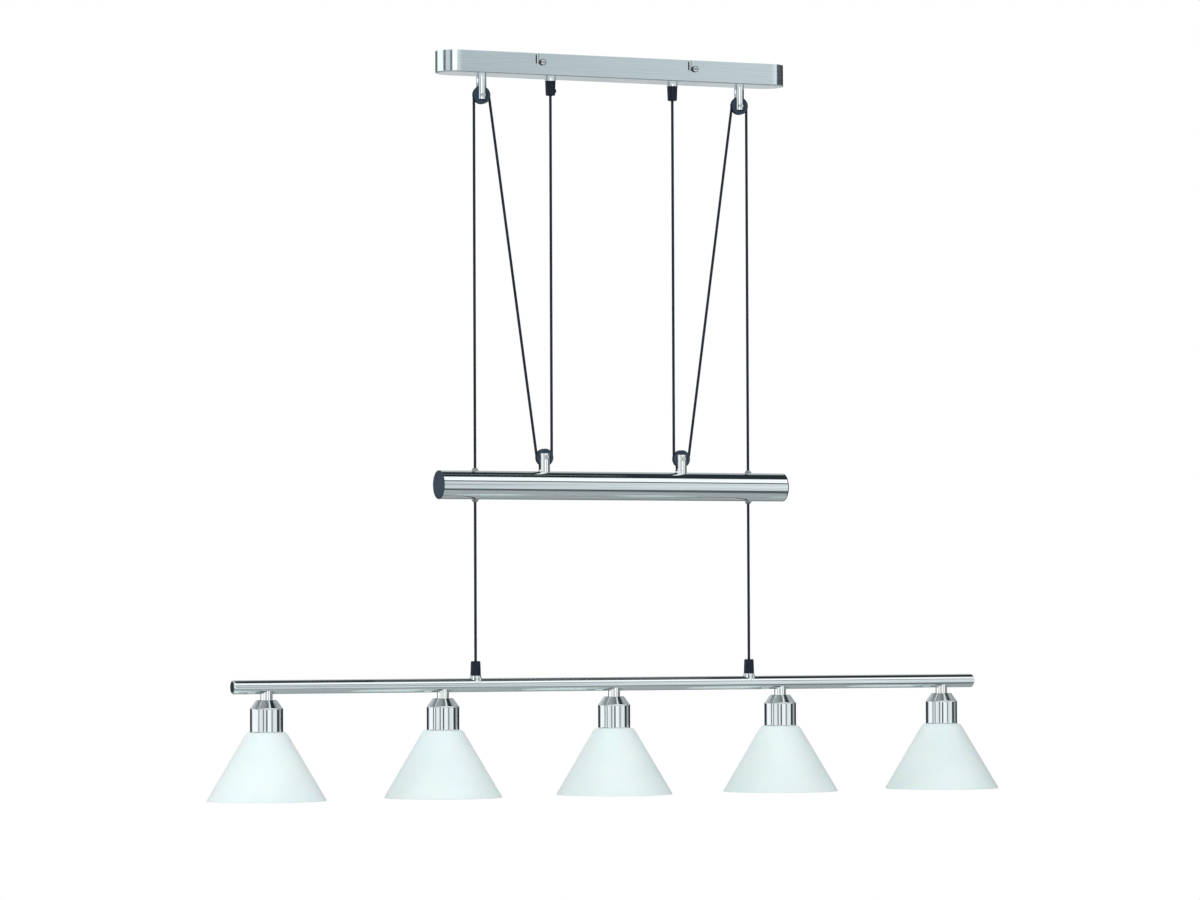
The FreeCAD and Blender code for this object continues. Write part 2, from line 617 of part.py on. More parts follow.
def lamp_wiring():
    """Cord tails into the bar, the run along it and a drop to each lampholder."""
    reach = lamp_positions()[-1]
    wiring = cylinder(WIRE_R, V(-reach, 0, BAR_Z), V(reach, 0, BAR_Z))
    for x in (-OUTER_CORD_X, OUTER_CORD_X):
        wiring = wiring.fuse(cylinder(CORD_R, V(x, 0, BAR_Z), V(x, 0, BAR_GLAND_TIP_Z)))
    chamber_floor = HOLDER_TOP - HOLDER_LENGTH + SOCKET_DEPTH + SOCKET_FLOOR
    for x in lamp_positions():
        wiring = wiring.fuse(cylinder(DROP_WIRE_R, V(x, 0, chamber_floor), V(x, 0, BAR_Z)))
    return wiring.removeSplitter()


# ---------------------------------------------------------------- lamps
def neck(x):
    """Hollow neck under the bar, with the nipple that carries cup and lampholder."""
    nipple_end = HOLDER_TOP - HOLDER_BOSS_T
    body = revolve_z([
        (NECK_BORE_R, BAR_Z), (NECK_R, BAR_Z), (NECK_R, CUP_TOP), (NIPPLE_R, CUP_TOP),
        (NIPPLE_R, nipple_end), (NECK_BORE_R, nipple_end)])
    body = body.cut(cylinder(BAR_R + SEAT_GAP, V(-BIG, 0, BAR_Z), V(BIG, 0, BAR_Z)))
    return along_z(body, x, 0)


def cup(x):
    """Metal cup with a chamfered top over the lampholder."""
    slant = math.hypot(CUP_R - CUP_TOP_R, CUP_CHAMFER)
    step = CUP_WALL * slant / CUP_CHAMFER
    inner_top = CUP_TOP - CUP_TOP_T
    inner_top_r = CUP_TOP_R + CUP_TOP_T * (CUP_R - CUP_TOP_R) / CUP_CHAMFER - step
    knee = CUP_TOP - CUP_CHAMFER
    inner_knee = knee - (step - CUP_WALL) * CUP_CHAMFER / (CUP_R - CUP_TOP_R)
    return revolve_z([
        (NIPPLE_R + THREAD_GAP, CUP_TOP), (CUP_TOP_R, CUP_TOP), (CUP_R, knee),
        (CUP_R, CUP_FLOOR), (CUP_R - CUP_WALL, CUP_FLOOR), (CUP_R - CUP_WALL, inner_knee),
        (inner_top_r, inner_top), (NIPPLE_R + THREAD_GAP, inner_top)], x)


def lampholder(x):
    """Screw lampholder: boss on the nipple, wiring space, socket open at the bottom."""
    top = HOLDER_TOP
    low = top - HOLDER_LENGTH
    cap_low = top - HOLDER_BOSS_T - HOLDER_CAP_LENGTH
    shoulder = top - HOLDER_BOSS_T - (HOLDER_CAP_R - HOLDER_BOSS_R)
    socket_top = low + SOCKET_DEPTH
    chamber_low = socket_top + SOCKET_FLOOR
    chamber_top = top - HOLDER_BOSS_T
    body = revolve_z([
        (0, top), (HOLDER_BOSS_R, top), (HOLDER_BOSS_R, top - HOLDER_BOSS_T),
        (HOLDER_CAP_R, shoulder), (HOLDER_CAP_R, cap_low), (HOLDER_R, cap_low), (HOLDER_R, low),
        (0, low)])
    body = body.cut(cylinder(NIPPLE_R + THREAD_GAP, V(0, 0, chamber_top), V(0, 0, top)))
    chamber = revolve_z([
        (0, chamber_low), (HOLDER_CHAMBER_R, chamber_low), (HOLDER_CHAMBER_R, shoulder),
        (NIPPLE_R + THREAD_GAP, chamber_top), (0, chamber_top)])
    body = body.cut(chamber)
    body = body.cut(cylinder(SOCKET_R, V(0, 0, low), V(0, 0, socket_top)))
    return along_z(body, x, 0)


def shade(x):
    """Opal glass cone, hung by its flat top between cup and ring."""
    top = CUP_FLOOR
    shoulder = top - SHADE_SHOULDER_DROP
    rim = top - SHADE_HEIGHT
    top_r = SHADE_SHOULDER_R - SHADE_SHOULDER_DROP
    spread = (SHADE_RIM_R - SHADE_SHOULDER_R) / (SHADE_HEIGHT - SHADE_SHOULDER_DROP)
    step = SHADE_GLASS * math.hypot(1, spread)
    outer = revolve_z([(0, top), (top_r, top), (SHADE_SHOULDER_R, shoulder),
                       (SHADE_RIM_R, rim), (0, rim)])
    inner_top = top - SHADE_GLASS
    low = rim - SHADE_GLASS
    inner_top_r = SHADE_SHOULDER_R + spread * (shoulder - inner_top) - step
    inner_low_r = SHADE_RIM_R + spread * SHADE_GLASS - step
    inner = revolve_z([(0, inner_top), (inner_top_r, inner_top), (inner_low_r, low), (0, low)])
    outer = outer.makeFillet(SHADE_FILLET / 2, edges_at(outer, shoulder))
    inner = inner.makeFillet(SHADE_FILLET / 2, edges_at(inner, inner_top))
    glass = outer.cut(inner)
    hole = cylinder(HOLDER_R + SHELL_GAP, V(0, 0, inner_top - 1), V(0, 0, top + 1))
    return along_z(glass.cut(hole), x, 0)


def shade_ring(x):
    """Threaded ring on the lampholder that holds the shade up."""
    top = CUP_FLOOR - SHADE_GLASS
    bore = HOLDER_R + THREAD_GAP
    ring = cylinder(RING_R, V(0, 0, top - RING_T), V(0, 0, top))
    for i in range(8):
        a = math.radians(45 * i)
        p = V(math.cos(a), math.sin(a), 0) * (RING_R + RING_GRIP)
        notch = Part.makeCylinder(2 * RING_GRIP, RING_T * 0.7, p + V(0, 0, top - RING_T))
        ring = ring.cut(notch)
    ring = ring.cut(cylinder(bore, V(0, 0, top - RING_T), V(0, 0, top)))
    return along_z(ring, x, 0)


# ---------------------------------------------------------------- all pieces
def pieces():
    """Every piece of the pendant by its name."""
    made = {
        "canopy_cover": canopy_cover(),
        "mounting_bracket": mounting_bracket(),
        "cover_screws": cover_screws(),
        "connector_block": connector_block(),
        "canopy_nuts": canopy_nuts(),
        "weight_tube": weight_tube(),
        "weight_cores": weight_cores(),
        "bar_tube": bar_tube(),
        "lamp_wiring": lamp_wiring(),
        "lamp_necks": group([neck(x) for x in lamp_positions()]),
        "neck_nuts": group([hex_nut(x, HOLDER_TOP, NIPPLE_R + THREAD_GAP)
                            for x in lamp_positions()]),
        "shade_rings": group([shade_ring(x) for x in lamp_positions()]),
        "upper_pulley_left": pulley(-UPPER_AXLE_X, UPPER_AXLE_Z),
        "upper_pulley_right": pulley(UPPER_AXLE_X, UPPER_AXLE_Z),
        "lower_pulley_left": pulley(-LOWER_AXLE_X, LOWER_AXLE_Z),
        "lower_pulley_right": pulley(LOWER_AXLE_X, LOWER_AXLE_Z),
    }
    canopy_root = CANOPY_FLOOR - COLLAR_T
    grips = {
        "canopy": [(-INNER_CORD_X, canopy_root, -1, 0), (INNER_CORD_X, canopy_root, -1, 90)],
        "bar": [(-OUTER_CORD_X, BAR_COLLAR_TOP, 1, 90), (OUTER_CORD_X, BAR_COLLAR_TOP, 1, 90)],
    }
    for place, pair in grips.items():
        made[place + "_gland_left"] = gland(*pair[0])
        made[place + "_gland_right"] = gland(*pair[1])
        made[place + "_clamp_screws"] = group([clamp_screw(*grip) for grip in pair])
    left_pieces = {
        "upper_post": upper_post(),
        "lower_post": lower_post(),
        "cord_fall": cord_fall(),
        "cord_diagonal": cord_diagonal(),
        "cord_drop": cord_drop(),
        "weight_cap": weight_cap(),
        "cord_bushes": group([cord_bush(1), cord_bush(-1)]),
        "bar_cap": bar_cap(),
    }
    for name, shape in left_pieces.items():
        made[name + "_left"] = shape
        made[name + "_right"] = mirrored(shape)
    pairs = {
        "upper_axles": axle_screw(UPPER_POST_R, -UPPER_AXLE_X, UPPER_AXLE_Z),
        "lower_axles": axle_screw(LOWER_POST_R, -LOWER_AXLE_X, LOWER_AXLE_Z),
        "canopy_collars": canopy_collar(),
        "bar_collars": bar_collar(),
        "cord_upper_wraps": upper_wrap(),
        "cord_lower_wraps": lower_wrap(),
        "canopy_leads": canopy_lead(),
    }
    for name, shape in pairs.items():
        made[name] = group([shape, mirrored(shape)])
    for number, x in enumerate(lamp_positions(), 1):
        made["cup_%d" % number] = cup(x)
        made["lampholder_%d" % number] = lampholder(x)
        made["shade_%d" % number] = shade(x)
    return made


def main():
    os.makedirs("parts", exist_ok=True)
    for name, shape in pieces().items():
        if not shape.isValid():
            raise ValueError(name + " is not a valid shape")
        shape.exportStep("parts/" + name + ".step")


main()
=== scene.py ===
import bmesh
import bpy
import math
from mathutils import Matrix, Vector


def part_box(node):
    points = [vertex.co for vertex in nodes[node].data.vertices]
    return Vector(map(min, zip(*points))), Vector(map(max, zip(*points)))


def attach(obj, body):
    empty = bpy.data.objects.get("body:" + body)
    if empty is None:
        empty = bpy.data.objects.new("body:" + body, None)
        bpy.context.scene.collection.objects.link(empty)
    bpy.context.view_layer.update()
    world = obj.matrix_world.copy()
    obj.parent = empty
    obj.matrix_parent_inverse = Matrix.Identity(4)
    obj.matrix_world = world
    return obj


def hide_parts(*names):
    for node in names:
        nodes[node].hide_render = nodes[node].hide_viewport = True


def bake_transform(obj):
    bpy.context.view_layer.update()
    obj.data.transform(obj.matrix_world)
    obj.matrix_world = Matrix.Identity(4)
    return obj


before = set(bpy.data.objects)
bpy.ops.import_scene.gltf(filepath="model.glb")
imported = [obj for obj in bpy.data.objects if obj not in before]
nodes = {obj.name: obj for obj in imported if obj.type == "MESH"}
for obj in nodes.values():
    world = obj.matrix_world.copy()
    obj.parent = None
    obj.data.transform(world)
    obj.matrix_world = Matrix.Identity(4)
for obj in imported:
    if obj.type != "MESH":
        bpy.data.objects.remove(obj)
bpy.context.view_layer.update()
scene = bpy.context.scene
MM = 0.001


# ---------------------------------------------------------------- camera
# Seen from the left of the middle and from about 6 m, through a long lens, with the eye
# a little above the lamp bar.
EYE = Vector((-2.5737, -5.7046, -0.7042))
EYE_TURN = math.radians(24.134)        # from +Y towards +X
EYE_TILT = math.radians(91.9703)       # up from straight down
EYE_ROLL = math.radians(-0.2272)
camera = bpy.data.cameras.new("camera")
camera.sensor_width = 36.0
camera.lens = 150.77
camera.clip_end = 100.0
eye = bpy.data.objects.new("camera", camera)
scene.collection.objects.link(eye)
eye.matrix_world = (Matrix.Translation(EYE) @ Matrix.Rotation(-EYE_TURN, 4, "Z")
                    @ Matrix.Rotation(EYE_TILT, 4, "X") @ Matrix.Rotation(EYE_ROLL, 4, "Z"))
scene.camera = eye


# ---------------------------------------------------------------- cords
# Two round three-core flexes with a smooth black PVC sheath over a strain wire.  Each
# is strung taut: gland, lower pulley, upper pulley, through the balance tube, lamp bar.
def tint(code):
    """Linear colour of an sRGB hex value."""
    parts = [int(code[i:i + 2], 16) / 255 for i in (1, 3, 5)]
    return [p / 12.92 if p <= 0.04045 else ((p + 0.055) / 1.055) ** 2.4 for p in parts] + [1.0]


def material(name):
    """A new material, its node tree and its surface shader."""
    finish = bpy.data.materials.new(name)
    finish.use_nodes = True
    return finish, finish.node_tree, finish.node_tree.nodes["Principled BSDF"]


def put(tree, kind, sockets=(), stops=(), **settings):
    """Adds a node: its settings, its sockets' values or links, and a ramp's stops."""
    made = tree.nodes.new("ShaderNode" + kind)
    for key, value in settings.items():
        setattr(made, key, value)
    for key, value in dict(sockets).items():
        if isinstance(value, bpy.types.NodeSocket):
            tree.links.new(value, made.inputs[key])
        else:
            made.inputs[key].default_value = value
    for number, (place, colour) in enumerate(stops):
        ramp = made.color_ramp.elements
        stop = ramp[number] if number < 2 else ramp.new(place)
        stop.position, stop.color = place, colour
    return made


def surface(tree, shader, **sockets):
    """Sets or links the sockets of a material's surface shader."""
    for key, value in sockets.items():
        key = key.replace("_", " ")
        if isinstance(value, bpy.types.NodeSocket):
            tree.links.new(value, shader.inputs[key])
        else:
            shader.inputs[key].default_value = value


def every(mm):
    """A pattern's scale, from the size in millimetres that its marks have."""
    return 1 / (mm * MM)


def dress(finish, *names):
    """Gives CAD nodes a finish."""
    for name in names:
        nodes[name].material_slots[0].material = finish


# Extruded PVC: dull black with a slate cast, faint draw lines along it and a fine grain,
# both drawn about 0.5 mm wide so they show.
sheath, tree, shader = material("extruded_pvc_sheath")
where = put(tree, "TexCoord").outputs["Object"]
lengthwise = put(tree, "Mapping", {"Vector": where,
                                   "Scale": (every(0.526), every(0.526), every(16.7))})
draw_lines = put(tree, "TexNoise", {"Vector": lengthwise.outputs[0], "Scale": 1.0, "Detail": 3.0})
grain = put(tree, "TexNoise", {"Vector": where, "Scale": every(0.385), "Detail": 2.0})
scuffs = put(tree, "TexNoise", {"Vector": where, "Scale": every(22.2), "Detail": 4.0})
colour = put(tree, "ValToRGB", {"Fac": scuffs.outputs[0]},
             [(0.3, tint("#111A25")), (0.7, tint("#182330"))])
gloss = put(tree, "MapRange", {"Value": scuffs.outputs[0], "From Min": 0.3, "From Max": 0.7,
                               "To Min": 0.4, "To Max": 0.5})
relief = put(tree, "Math", {0: draw_lines.outputs[0], 1: grain.outputs[0]}, operation="ADD")
bump = put(tree, "Bump", {"Height": relief.outputs[0], "Strength": 0.15, "Distance": 0.02 * MM})
surface(tree, shader, Base_Color=colour.outputs[0], Roughness=gloss.outputs[0],
        Specular_IOR_Level=0.25, Normal=bump.outputs[0])
dress(sheath, "cord_upper_wraps", "cord_lower_wraps", "canopy_leads", "lamp_wiring")

CORD = 3.4 * MM
INNER_X, OUTER_X = 83.5 * MM, 186.5 * MM       # of the stretches that hang straight down
UPPER_AXLE = Vector((-176.5, 0, -52.5)) * MM
LOWER_AXLE = Vector((-93.5, 0, -499.25)) * MM
PITCH_R = 10.0 * MM                            # pulley's axle to the middle of the cord
GLAND_TIP_Z, BAR_GLAND_TIP_Z = -49.4 * MM, -750.5 * MM
CREASE = math.radians(32)                      # edges sharper than this stay sharp


def follow(route):
    """Points along the smooth curve of a cord's route."""
    line = bpy.data.curves.new("route", "CURVE")
    line.dimensions = "3D"
    line.resolution_u = 12
    spline = line.splines.new("NURBS")
    spline.points.add(len(route) - 1)
    for point, place in zip(spline.points, route):
        point.co = (*place, 1.0)
    spline.order_u = 3
    spline.use_endpoint_u = True
    holder = bpy.data.objects.new("route", line)
    scene.collection.objects.link(holder)
    drawn = bpy.data.meshes.new_from_object(holder)
    points = [v.co.copy() for v in drawn.vertices]
    bpy.data.objects.remove(holder)
    bpy.data.curves.remove(line)
    bpy.data.meshes.remove(drawn)
    return points


def piece(name, form, finish):
    """Makes a bmesh into a smooth piece of the scene."""
    mesh = bpy.data.meshes.new(name)
    bmesh.ops.recalc_face_normals(form, faces=form.faces)
    for face in form.faces:
        face.smooth = True
    for edge in form.edges:
        edge.smooth = len(edge.link_faces) == 2 and edge.calc_face_angle() < CREASE
    form.to_mesh(mesh)
    form.free()
    mesh.materials.append(finish)
    made = bpy.data.objects.new(name, mesh)
    scene.collection.objects.link(made)
    return made


def string(stretch, side, route):
    """A straight cord between two bodies, strung along its route."""
    points = follow(route)
    form = bmesh.new()
    along = (points[-1] - points[0]).normalized()
    ring = bmesh.ops.create_circle(
        form, cap_ends=False, segments=20, radius=CORD / 2,
        matrix=Matrix.Translation(points[0]) @ along.to_track_quat("Z", "Y").to_matrix().to_4x4())
    edges = list({e for v in ring["verts"] for e in v.link_edges})
    for before, after in zip(points, points[1:]):
        grown = bmesh.ops.extrude_edge_only(form, edges=edges)["geom"]
        edges = [g for g in grown if isinstance(g, bmesh.types.BMEdge)]
        verts = [g for g in grown if isinstance(g, bmesh.types.BMVert)]
        bmesh.ops.translate(form, verts=verts, vec=after - before)
    bmesh.ops.holes_fill(form, edges=[e for e in form.edges if e.is_boundary], sides=0)
    cord = piece("%s_cord_%s" % (stretch, side), form, sheath)
    # The points are spread the opposite way to an easing blend, which would bow a taut cord,
    # while the cord's transform is baked in, and then go back to their places.
    start, end = points[0], points[-1]
    span = end - start
    places = [v.co.copy() for v in cord.data.vertices]
    for vert, place in zip(cord.data.vertices, places):
        part = min(max((place - start).dot(span) / span.length_squared, 0.0), 1.0)
        vert.co = start + span * (0.5 - math.sin(math.asin(1 - 2 * part) / 3))
    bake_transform(cord)
    for vert, place in zip(cord.data.vertices, places):
        vert.co = place
    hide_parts("cord_%s_%s" % (stretch, side))


# The diagonal touches both pulleys on opposite sides, so it leans less than their axles do.
across = UPPER_AXLE - LOWER_AXLE
lean = math.atan2(-across.x, across.z) - math.asin(2 * PITCH_R / across.length)
touch = Vector((math.cos(lean), 0, math.sin(lean))) * PITCH_R
for side, hand in (("left", 1), ("right", -1)):
    turn = Matrix.Scale(hand, 3, (1, 0, 0))
    near = 6 * CORD
    top, low = Vector((-INNER_X, 0, GLAND_TIP_Z)), Vector((-INNER_X, 0, LOWER_AXLE.z))
    string("fall", side,
           [turn @ p for p in (top, top - Vector((0, 0, near)), low + Vector((0, 0, near)), low)])
    top, low = UPPER_AXLE + touch, LOWER_AXLE - touch
    step = (low - top).normalized() * near
    string("diagonal", side, [turn @ p for p in (top, top + step, low - step, low)])
    top, low = Vector((-OUTER_X, 0, UPPER_AXLE.z)), Vector((-OUTER_X, 0, BAR_GLAND_TIP_Z))
    string("drop", side,
           [turn @ p for p in (top, top - Vector((0, 0, near)), low + Vector((0, 0, near)), low)])


# ---------------------------------------------------------------- canopy
# A long, flat box with round ends, pressed from 1 mm sheet steel, nickel plated and
# brushed lengthwise by a belt.  It hangs on four screws by its bayonet slots.
WALL = 1.0 * MM
least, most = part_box("canopy_cover")
END_R = most.y                         # of its round ends
STRAIGHT = most.x - END_R              # half the length between their middles

# Brushed nickel: a soft grey mirror, streaked along by its belt lines.
brushed, tree, shader = material("brushed_nickel_plate")
where = put(tree, "TexCoord").outputs["Object"]
# The way round the box is its straight length and then the turn of its round end, so that
# the belt lines run round the ends too.
apart = put(tree, "SeparateXYZ", {0: where})
along = put(tree, "Math", {0: apart.outputs["X"]}, operation="ABSOLUTE")
past = put(tree, "Math", {0: along.outputs[0], 1: STRAIGHT}, operation="SUBTRACT")
past = put(tree, "Math", {0: past.outputs[0], 1: 0.0}, operation="MAXIMUM")
flat = put(tree, "CombineXYZ", {"X": past.outputs[0], "Y": apart.outputs["Y"]})
out = put(tree, "VectorMath", {0: flat.outputs[0]}, operation="LENGTH")
across = put(tree, "Math", {0: apart.outputs["Y"]}, operation="ABSOLUTE")
bend = put(tree, "Math", {0: past.outputs[0], 1: across.outputs[0]}, operation="ARCTAN2")
straight = put(tree, "Math", {0: along.outputs[0], 1: STRAIGHT}, operation="MINIMUM")
way_round = put(tree, "Math", {0: bend.outputs[0], 1: END_R, 2: straight.outputs[0]},
                operation="MULTIPLY_ADD")
belt = put(tree, "CombineXYZ", {"X": way_round.outputs[0], "Y": out.outputs["Value"],
                                "Z": apart.outputs["Z"]})
# Real belt lines are 0.05 mm wide; drawn about 0.4 mm wide and 60 mm long so they show.
stretched = put(tree, "Mapping", {"Vector": belt.outputs[0],
                                  "Scale": (every(62.5), every(0.417), every(0.417))})
lines = put(tree, "TexNoise", {"Vector": stretched.outputs[0], "Scale": 1.0, "Detail": 5.0,
                               "Roughness": 0.62})
cloud = put(tree, "TexNoise", {"Vector": where, "Scale": every(71.4), "Detail": 3.0})
colour = put(tree, "ValToRGB", {"Fac": lines.outputs[0]},
             [(0.3, tint("#CBD4D6")), (0.7, tint("#DDE4E5"))])
worn = put(tree, "MapRange", {"Value": cloud.outputs[0], "From Min": 0.35, "From Max": 0.65,
                              "To Min": 0.1, "To Max": 0.15})
fine = put(tree, "MapRange", {"Value": lines.outputs[0], "From Min": 0.3, "From Max": 0.7,
                              "To Min": -0.03, "To Max": 0.05})
gloss = put(tree, "Math", {0: worn.outputs[0], 1: fine.outputs[0]}, operation="ADD")
bump = put(tree, "Bump", {"Height": lines.outputs[0], "Strength": 0.3, "Distance": 0.03 * MM})
# Inside, painted shade: a near black stands in for the shade within the box, on all that
# lies within the middle of the box's walls, which is also left rougher.
within = put(tree, "Math", {0: out.outputs["Value"], 1: END_R - WALL / 2},
             operation="LESS_THAN")
above = put(tree, "Math", {0: apart.outputs["Z"], 1: least.z + WALL / 2},
            operation="GREATER_THAN")
painted_shade_inside = put(tree, "Math", {0: within.outputs[0], 1: above.outputs[0]}, operation="MULTIPLY")
painted_shade_colour = put(tree, "ValToRGB", {"Fac": cloud.outputs[0]},
           [(0.3, tint("#16191C")), (0.7, tint("#24282B"))])
colour = put(tree, "Mix", {0: painted_shade_inside.outputs[0], 6: colour.outputs[0], 7: painted_shade_colour.outputs[0]},
             data_type="RGBA")
gloss = put(tree, "Math", {0: painted_shade_inside.outputs[0], 1: 0.4, 2: gloss.outputs[0]},
            operation="MULTIPLY_ADD")
surface(tree, shader, Base_Color=colour.outputs[2], Metallic=1.0, Roughness=gloss.outputs[0],
        Normal=bump.outputs[0])
dress(brushed, "canopy_cover")


# ---------------------------------------------------------------- bracket and connector
# A strip of 2 mm zinc-plated steel screwed flat to the ceiling, its four tabs bent down
# and tapped for the cover screws, and a white nylon terminal block under it.  The balance
# tube's steel cores have the same plating.

# Electroplated zinc is even, with a faint blue and straw cast from its passivation.
zinc, tree, shader = material("zinc_plated_steel")
where = put(tree, "TexCoord").outputs["Object"]
cast = put(tree, "TexNoise", {"Vector": where, "Scale": every(16.7), "Detail": 3.0})
mill = put(tree, "TexNoise", {"Vector": where, "Scale": every(1.11), "Detail": 3.0})
colour = put(tree, "ValToRGB", {"Fac": cast.outputs[0]},
             [(0.3, tint("#D3DCE5")), (0.55, tint("#E3E6E6")), (0.75, tint("#E6E1D2"))])
gloss = put(tree, "MapRange", {"Value": mill.outputs[0], "From Min": 0.3, "From Max": 0.7,
                               "To Min": 0.3, "To Max": 0.42})
bump = put(tree, "Bump", {"Height": mill.outputs[0], "Strength": 0.3, "Distance": 0.03 * MM})
surface(tree, shader, Base_Color=colour.outputs[0], Metallic=1.0, Roughness=gloss.outputs[0],
        Normal=bump.outputs[0])
dress(zinc, "mounting_bracket", "weight_cores")

# Moulded nylon: a warm white with a faint flow mottle and the fine spark texture of its
# mould, which is drawn 0.7 mm wide so it shows.
white, tree, shader = material("white_moulded_nylon")
where = put(tree, "TexCoord").outputs["Object"]
flow = put(tree, "TexNoise", {"Vector": where, "Scale": every(11.1), "Detail": 3.0})
spark = put(tree, "TexNoise", {"Vector": where, "Scale": every(0.667), "Detail": 2.0})
colour = put(tree, "ValToRGB", {"Fac": flow.outputs[0]},
             [(0.3, tint("#DEDCD3")), (0.7, tint("#EBE9E2"))])
gloss = put(tree, "MapRange", {"Value": flow.outputs[0], "From Min": 0.3, "From Max": 0.7,
                               "To Min": 0.34, "To Max": 0.46})
bump = put(tree, "Bump", {"Height": spark.outputs[0], "Strength": 0.2, "Distance": 0.03 * MM})
surface(tree, shader, Base_Color=colour.outputs[0], Roughness=gloss.outputs[0],
        Subsurface_Weight=0.15, Subsurface_Scale=0.002, Normal=bump.outputs[0])
dress(white, "connector_block", "shade_rings")


# ---------------------------------------------------------------- screws, axles and nuts
# Slotted screws, the pulleys' axle screws and thin hexagon nuts, turned from steel, most of
# them nickel plated.  They hold the cover on its bracket, the pulleys in their forks, the
# posts and collars in the canopy and the cups on their necks.

# Nickel plate on turned steel: a bright grey, a little hazy, with fine tool marks.
turned_steel, tree, shader = material("nickel_plated_turned_steel")
where = put(tree, "TexCoord").outputs["Object"]
marks = put(tree, "TexNoise", {"Vector": where, "Scale": every(0.556), "Detail": 3.0})
handling = put(tree, "TexNoise", {"Vector": where, "Scale": every(4.55), "Detail": 3.0})
colour = put(tree, "ValToRGB", {"Fac": handling.outputs[0]},
             [(0.3, tint("#C6C9C8")), (0.7, tint("#E1E3E1"))])
gloss = put(tree, "MapRange", {"Value": handling.outputs[0], "From Min": 0.3, "From Max": 0.7,
                               "To Min": 0.16, "To Max": 0.3})
bump = put(tree, "Bump", {"Height": marks.outputs[0], "Strength": 0.25, "Distance": 0.02 * MM})
surface(tree, shader, Base_Color=colour.outputs[0], Metallic=1.0, Roughness=gloss.outputs[0],
        Normal=bump.outputs[0])
dress(turned_steel, "canopy_nuts", "neck_nuts", "upper_axles", "lower_axles")

# The cover screws are the same, with painted shade: a near black round the rim of each
# head, in its driver slot and below its face stands in for the shade in the gaps round it.
least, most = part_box("cover_screws")
HEAD_R = (most.z - least.z) / 2
LIT_FACE_DEPTH = 0.2 * MM                    # depth of the head's face left bright; deeper is painted shade
screw_steel_with_painted_shade = turned_steel.copy()
screw_steel_with_painted_shade.name = "turned_steel_with_painted_shade"
tree = screw_steel_with_painted_shade.node_tree
shader = tree.nodes["Principled BSDF"]
place = put(tree, "SeparateXYZ", {0: put(tree, "TexCoord").outputs["Object"]})
side = put(tree, "Math", {0: place.outputs["X"]}, operation="ABSOLUTE")
side = put(tree, "Math", {0: side.outputs[0], 1: most.x - HEAD_R}, operation="SUBTRACT")
lift = put(tree, "Math", {0: place.outputs["Z"], 1: most.z - HEAD_R}, operation="SUBTRACT")
head = put(tree, "CombineXYZ", {"X": side.outputs[0], "Z": lift.outputs[0]})
from_middle = put(tree, "VectorMath", {0: head.outputs[0]}, operation="LENGTH")
rim = put(tree, "MapRange", {"Value": from_middle.outputs["Value"], "From Min": 0.78 * HEAD_R,
                             "From Max": 0.88 * HEAD_R})
depth = put(tree, "Math", {0: place.outputs["Y"]}, operation="ABSOLUTE")
below = put(tree, "Math", {0: depth.outputs[0], 1: most.y - LIT_FACE_DEPTH}, operation="LESS_THAN")
oxide_and_painted_shade = put(tree, "Math", {0: rim.outputs[0], 1: below.outputs[0]}, operation="MAXIMUM")
steel = shader.inputs["Base Color"].links[0].from_socket
colour = put(tree, "Mix", {0: oxide_and_painted_shade.outputs[0], 6: steel, 7: tint("#1E2226")}, data_type="RGBA")
surface(tree, shader, Base_Color=colour.outputs[2])
dress(screw_steel_with_painted_shade, "cover_screws")

# The clamp screws are blackened instead: a thin oily oxide, darker in patches.
blackened, tree, shader = material("blackened_steel")
where = put(tree, "TexCoord").outputs["Object"]
oxide_and_painted_shade = put(tree, "TexNoise", {"Vector": where, "Scale": every(1.43), "Detail": 3.0})
colour = put(tree, "ValToRGB", {"Fac": oxide_and_painted_shade.outputs[0]},
             [(0.3, tint("#22252A")), (0.7, tint("#3A3E44"))])
gloss = put(tree, "MapRange", {"Value": oxide_and_painted_shade.outputs[0], "From Min": 0.3, "From Max": 0.7,
                               "To Min": 0.32, "To Max": 0.46})
bump = put(tree, "Bump", {"Height": oxide_and_painted_shade.outputs[0], "Strength": 0.2, "Distance": 0.02 * MM})
surface(tree, shader, Base_Color=colour.outputs[0], Metallic=1.0, Roughness=gloss.outputs[0],
        Normal=bump.outputs[0])
dress(blackened, "canopy_clamp_screws", "bar_clamp_screws")


# ---------------------------------------------------------------- posts and collars
# Forked posts that carry the pulleys, the collars of the cord glands, the necks of the
# lamps and the bar's end caps: turned from brass bar and bright nickel plated.

# Bright nickel mirrors what is round it.  Turning leaves level rings about 0.2 mm apart,
# drawn 0.5 mm apart so they show.
bright, tree, shader = material("bright_nickel_plate")
where = put(tree, "TexCoord").outputs["Object"]
rings = put(tree, "Mapping", {"Vector": where, "Scale": (every(16.7), every(16.7), every(0.5))})
turning = put(tree, "TexNoise", {"Vector": rings.outputs[0], "Scale": 1.0, "Detail": 2.0})
haze = put(tree, "TexNoise", {"Vector": where, "Scale": every(8.33), "Detail": 3.0})
colour = put(tree, "ValToRGB", {"Fac": haze.outputs[0]},
             [(0.3, tint("#E2E7E8")), (0.7, tint("#EEF1F1"))])
gloss = put(tree, "MapRange", {"Value": haze.outputs[0], "From Min": 0.3, "From Max": 0.7,
                               "To Min": 0.04, "To Max": 0.08})
bump = put(tree, "Bump", {"Height": turning.outputs[0], "Strength": 0.08, "Distance": 0.02 * MM})
surface(tree, shader, Base_Color=colour.outputs[0], Metallic=1.0, Roughness=gloss.outputs[0],
        Normal=bump.outputs[0])
dress(bright, "upper_post_left", "upper_post_right", "lower_post_left", "lower_post_right",
      "canopy_collars", "bar_collars", "lamp_necks", "bar_cap_left", "bar_cap_right")


# ---------------------------------------------------------------- pulleys and glands
# Pulleys and cord glands are moulded from black nylon.  The pulleys run on steel axle
# screws, and each gland stands on its collar and grips the cord by a small screw.

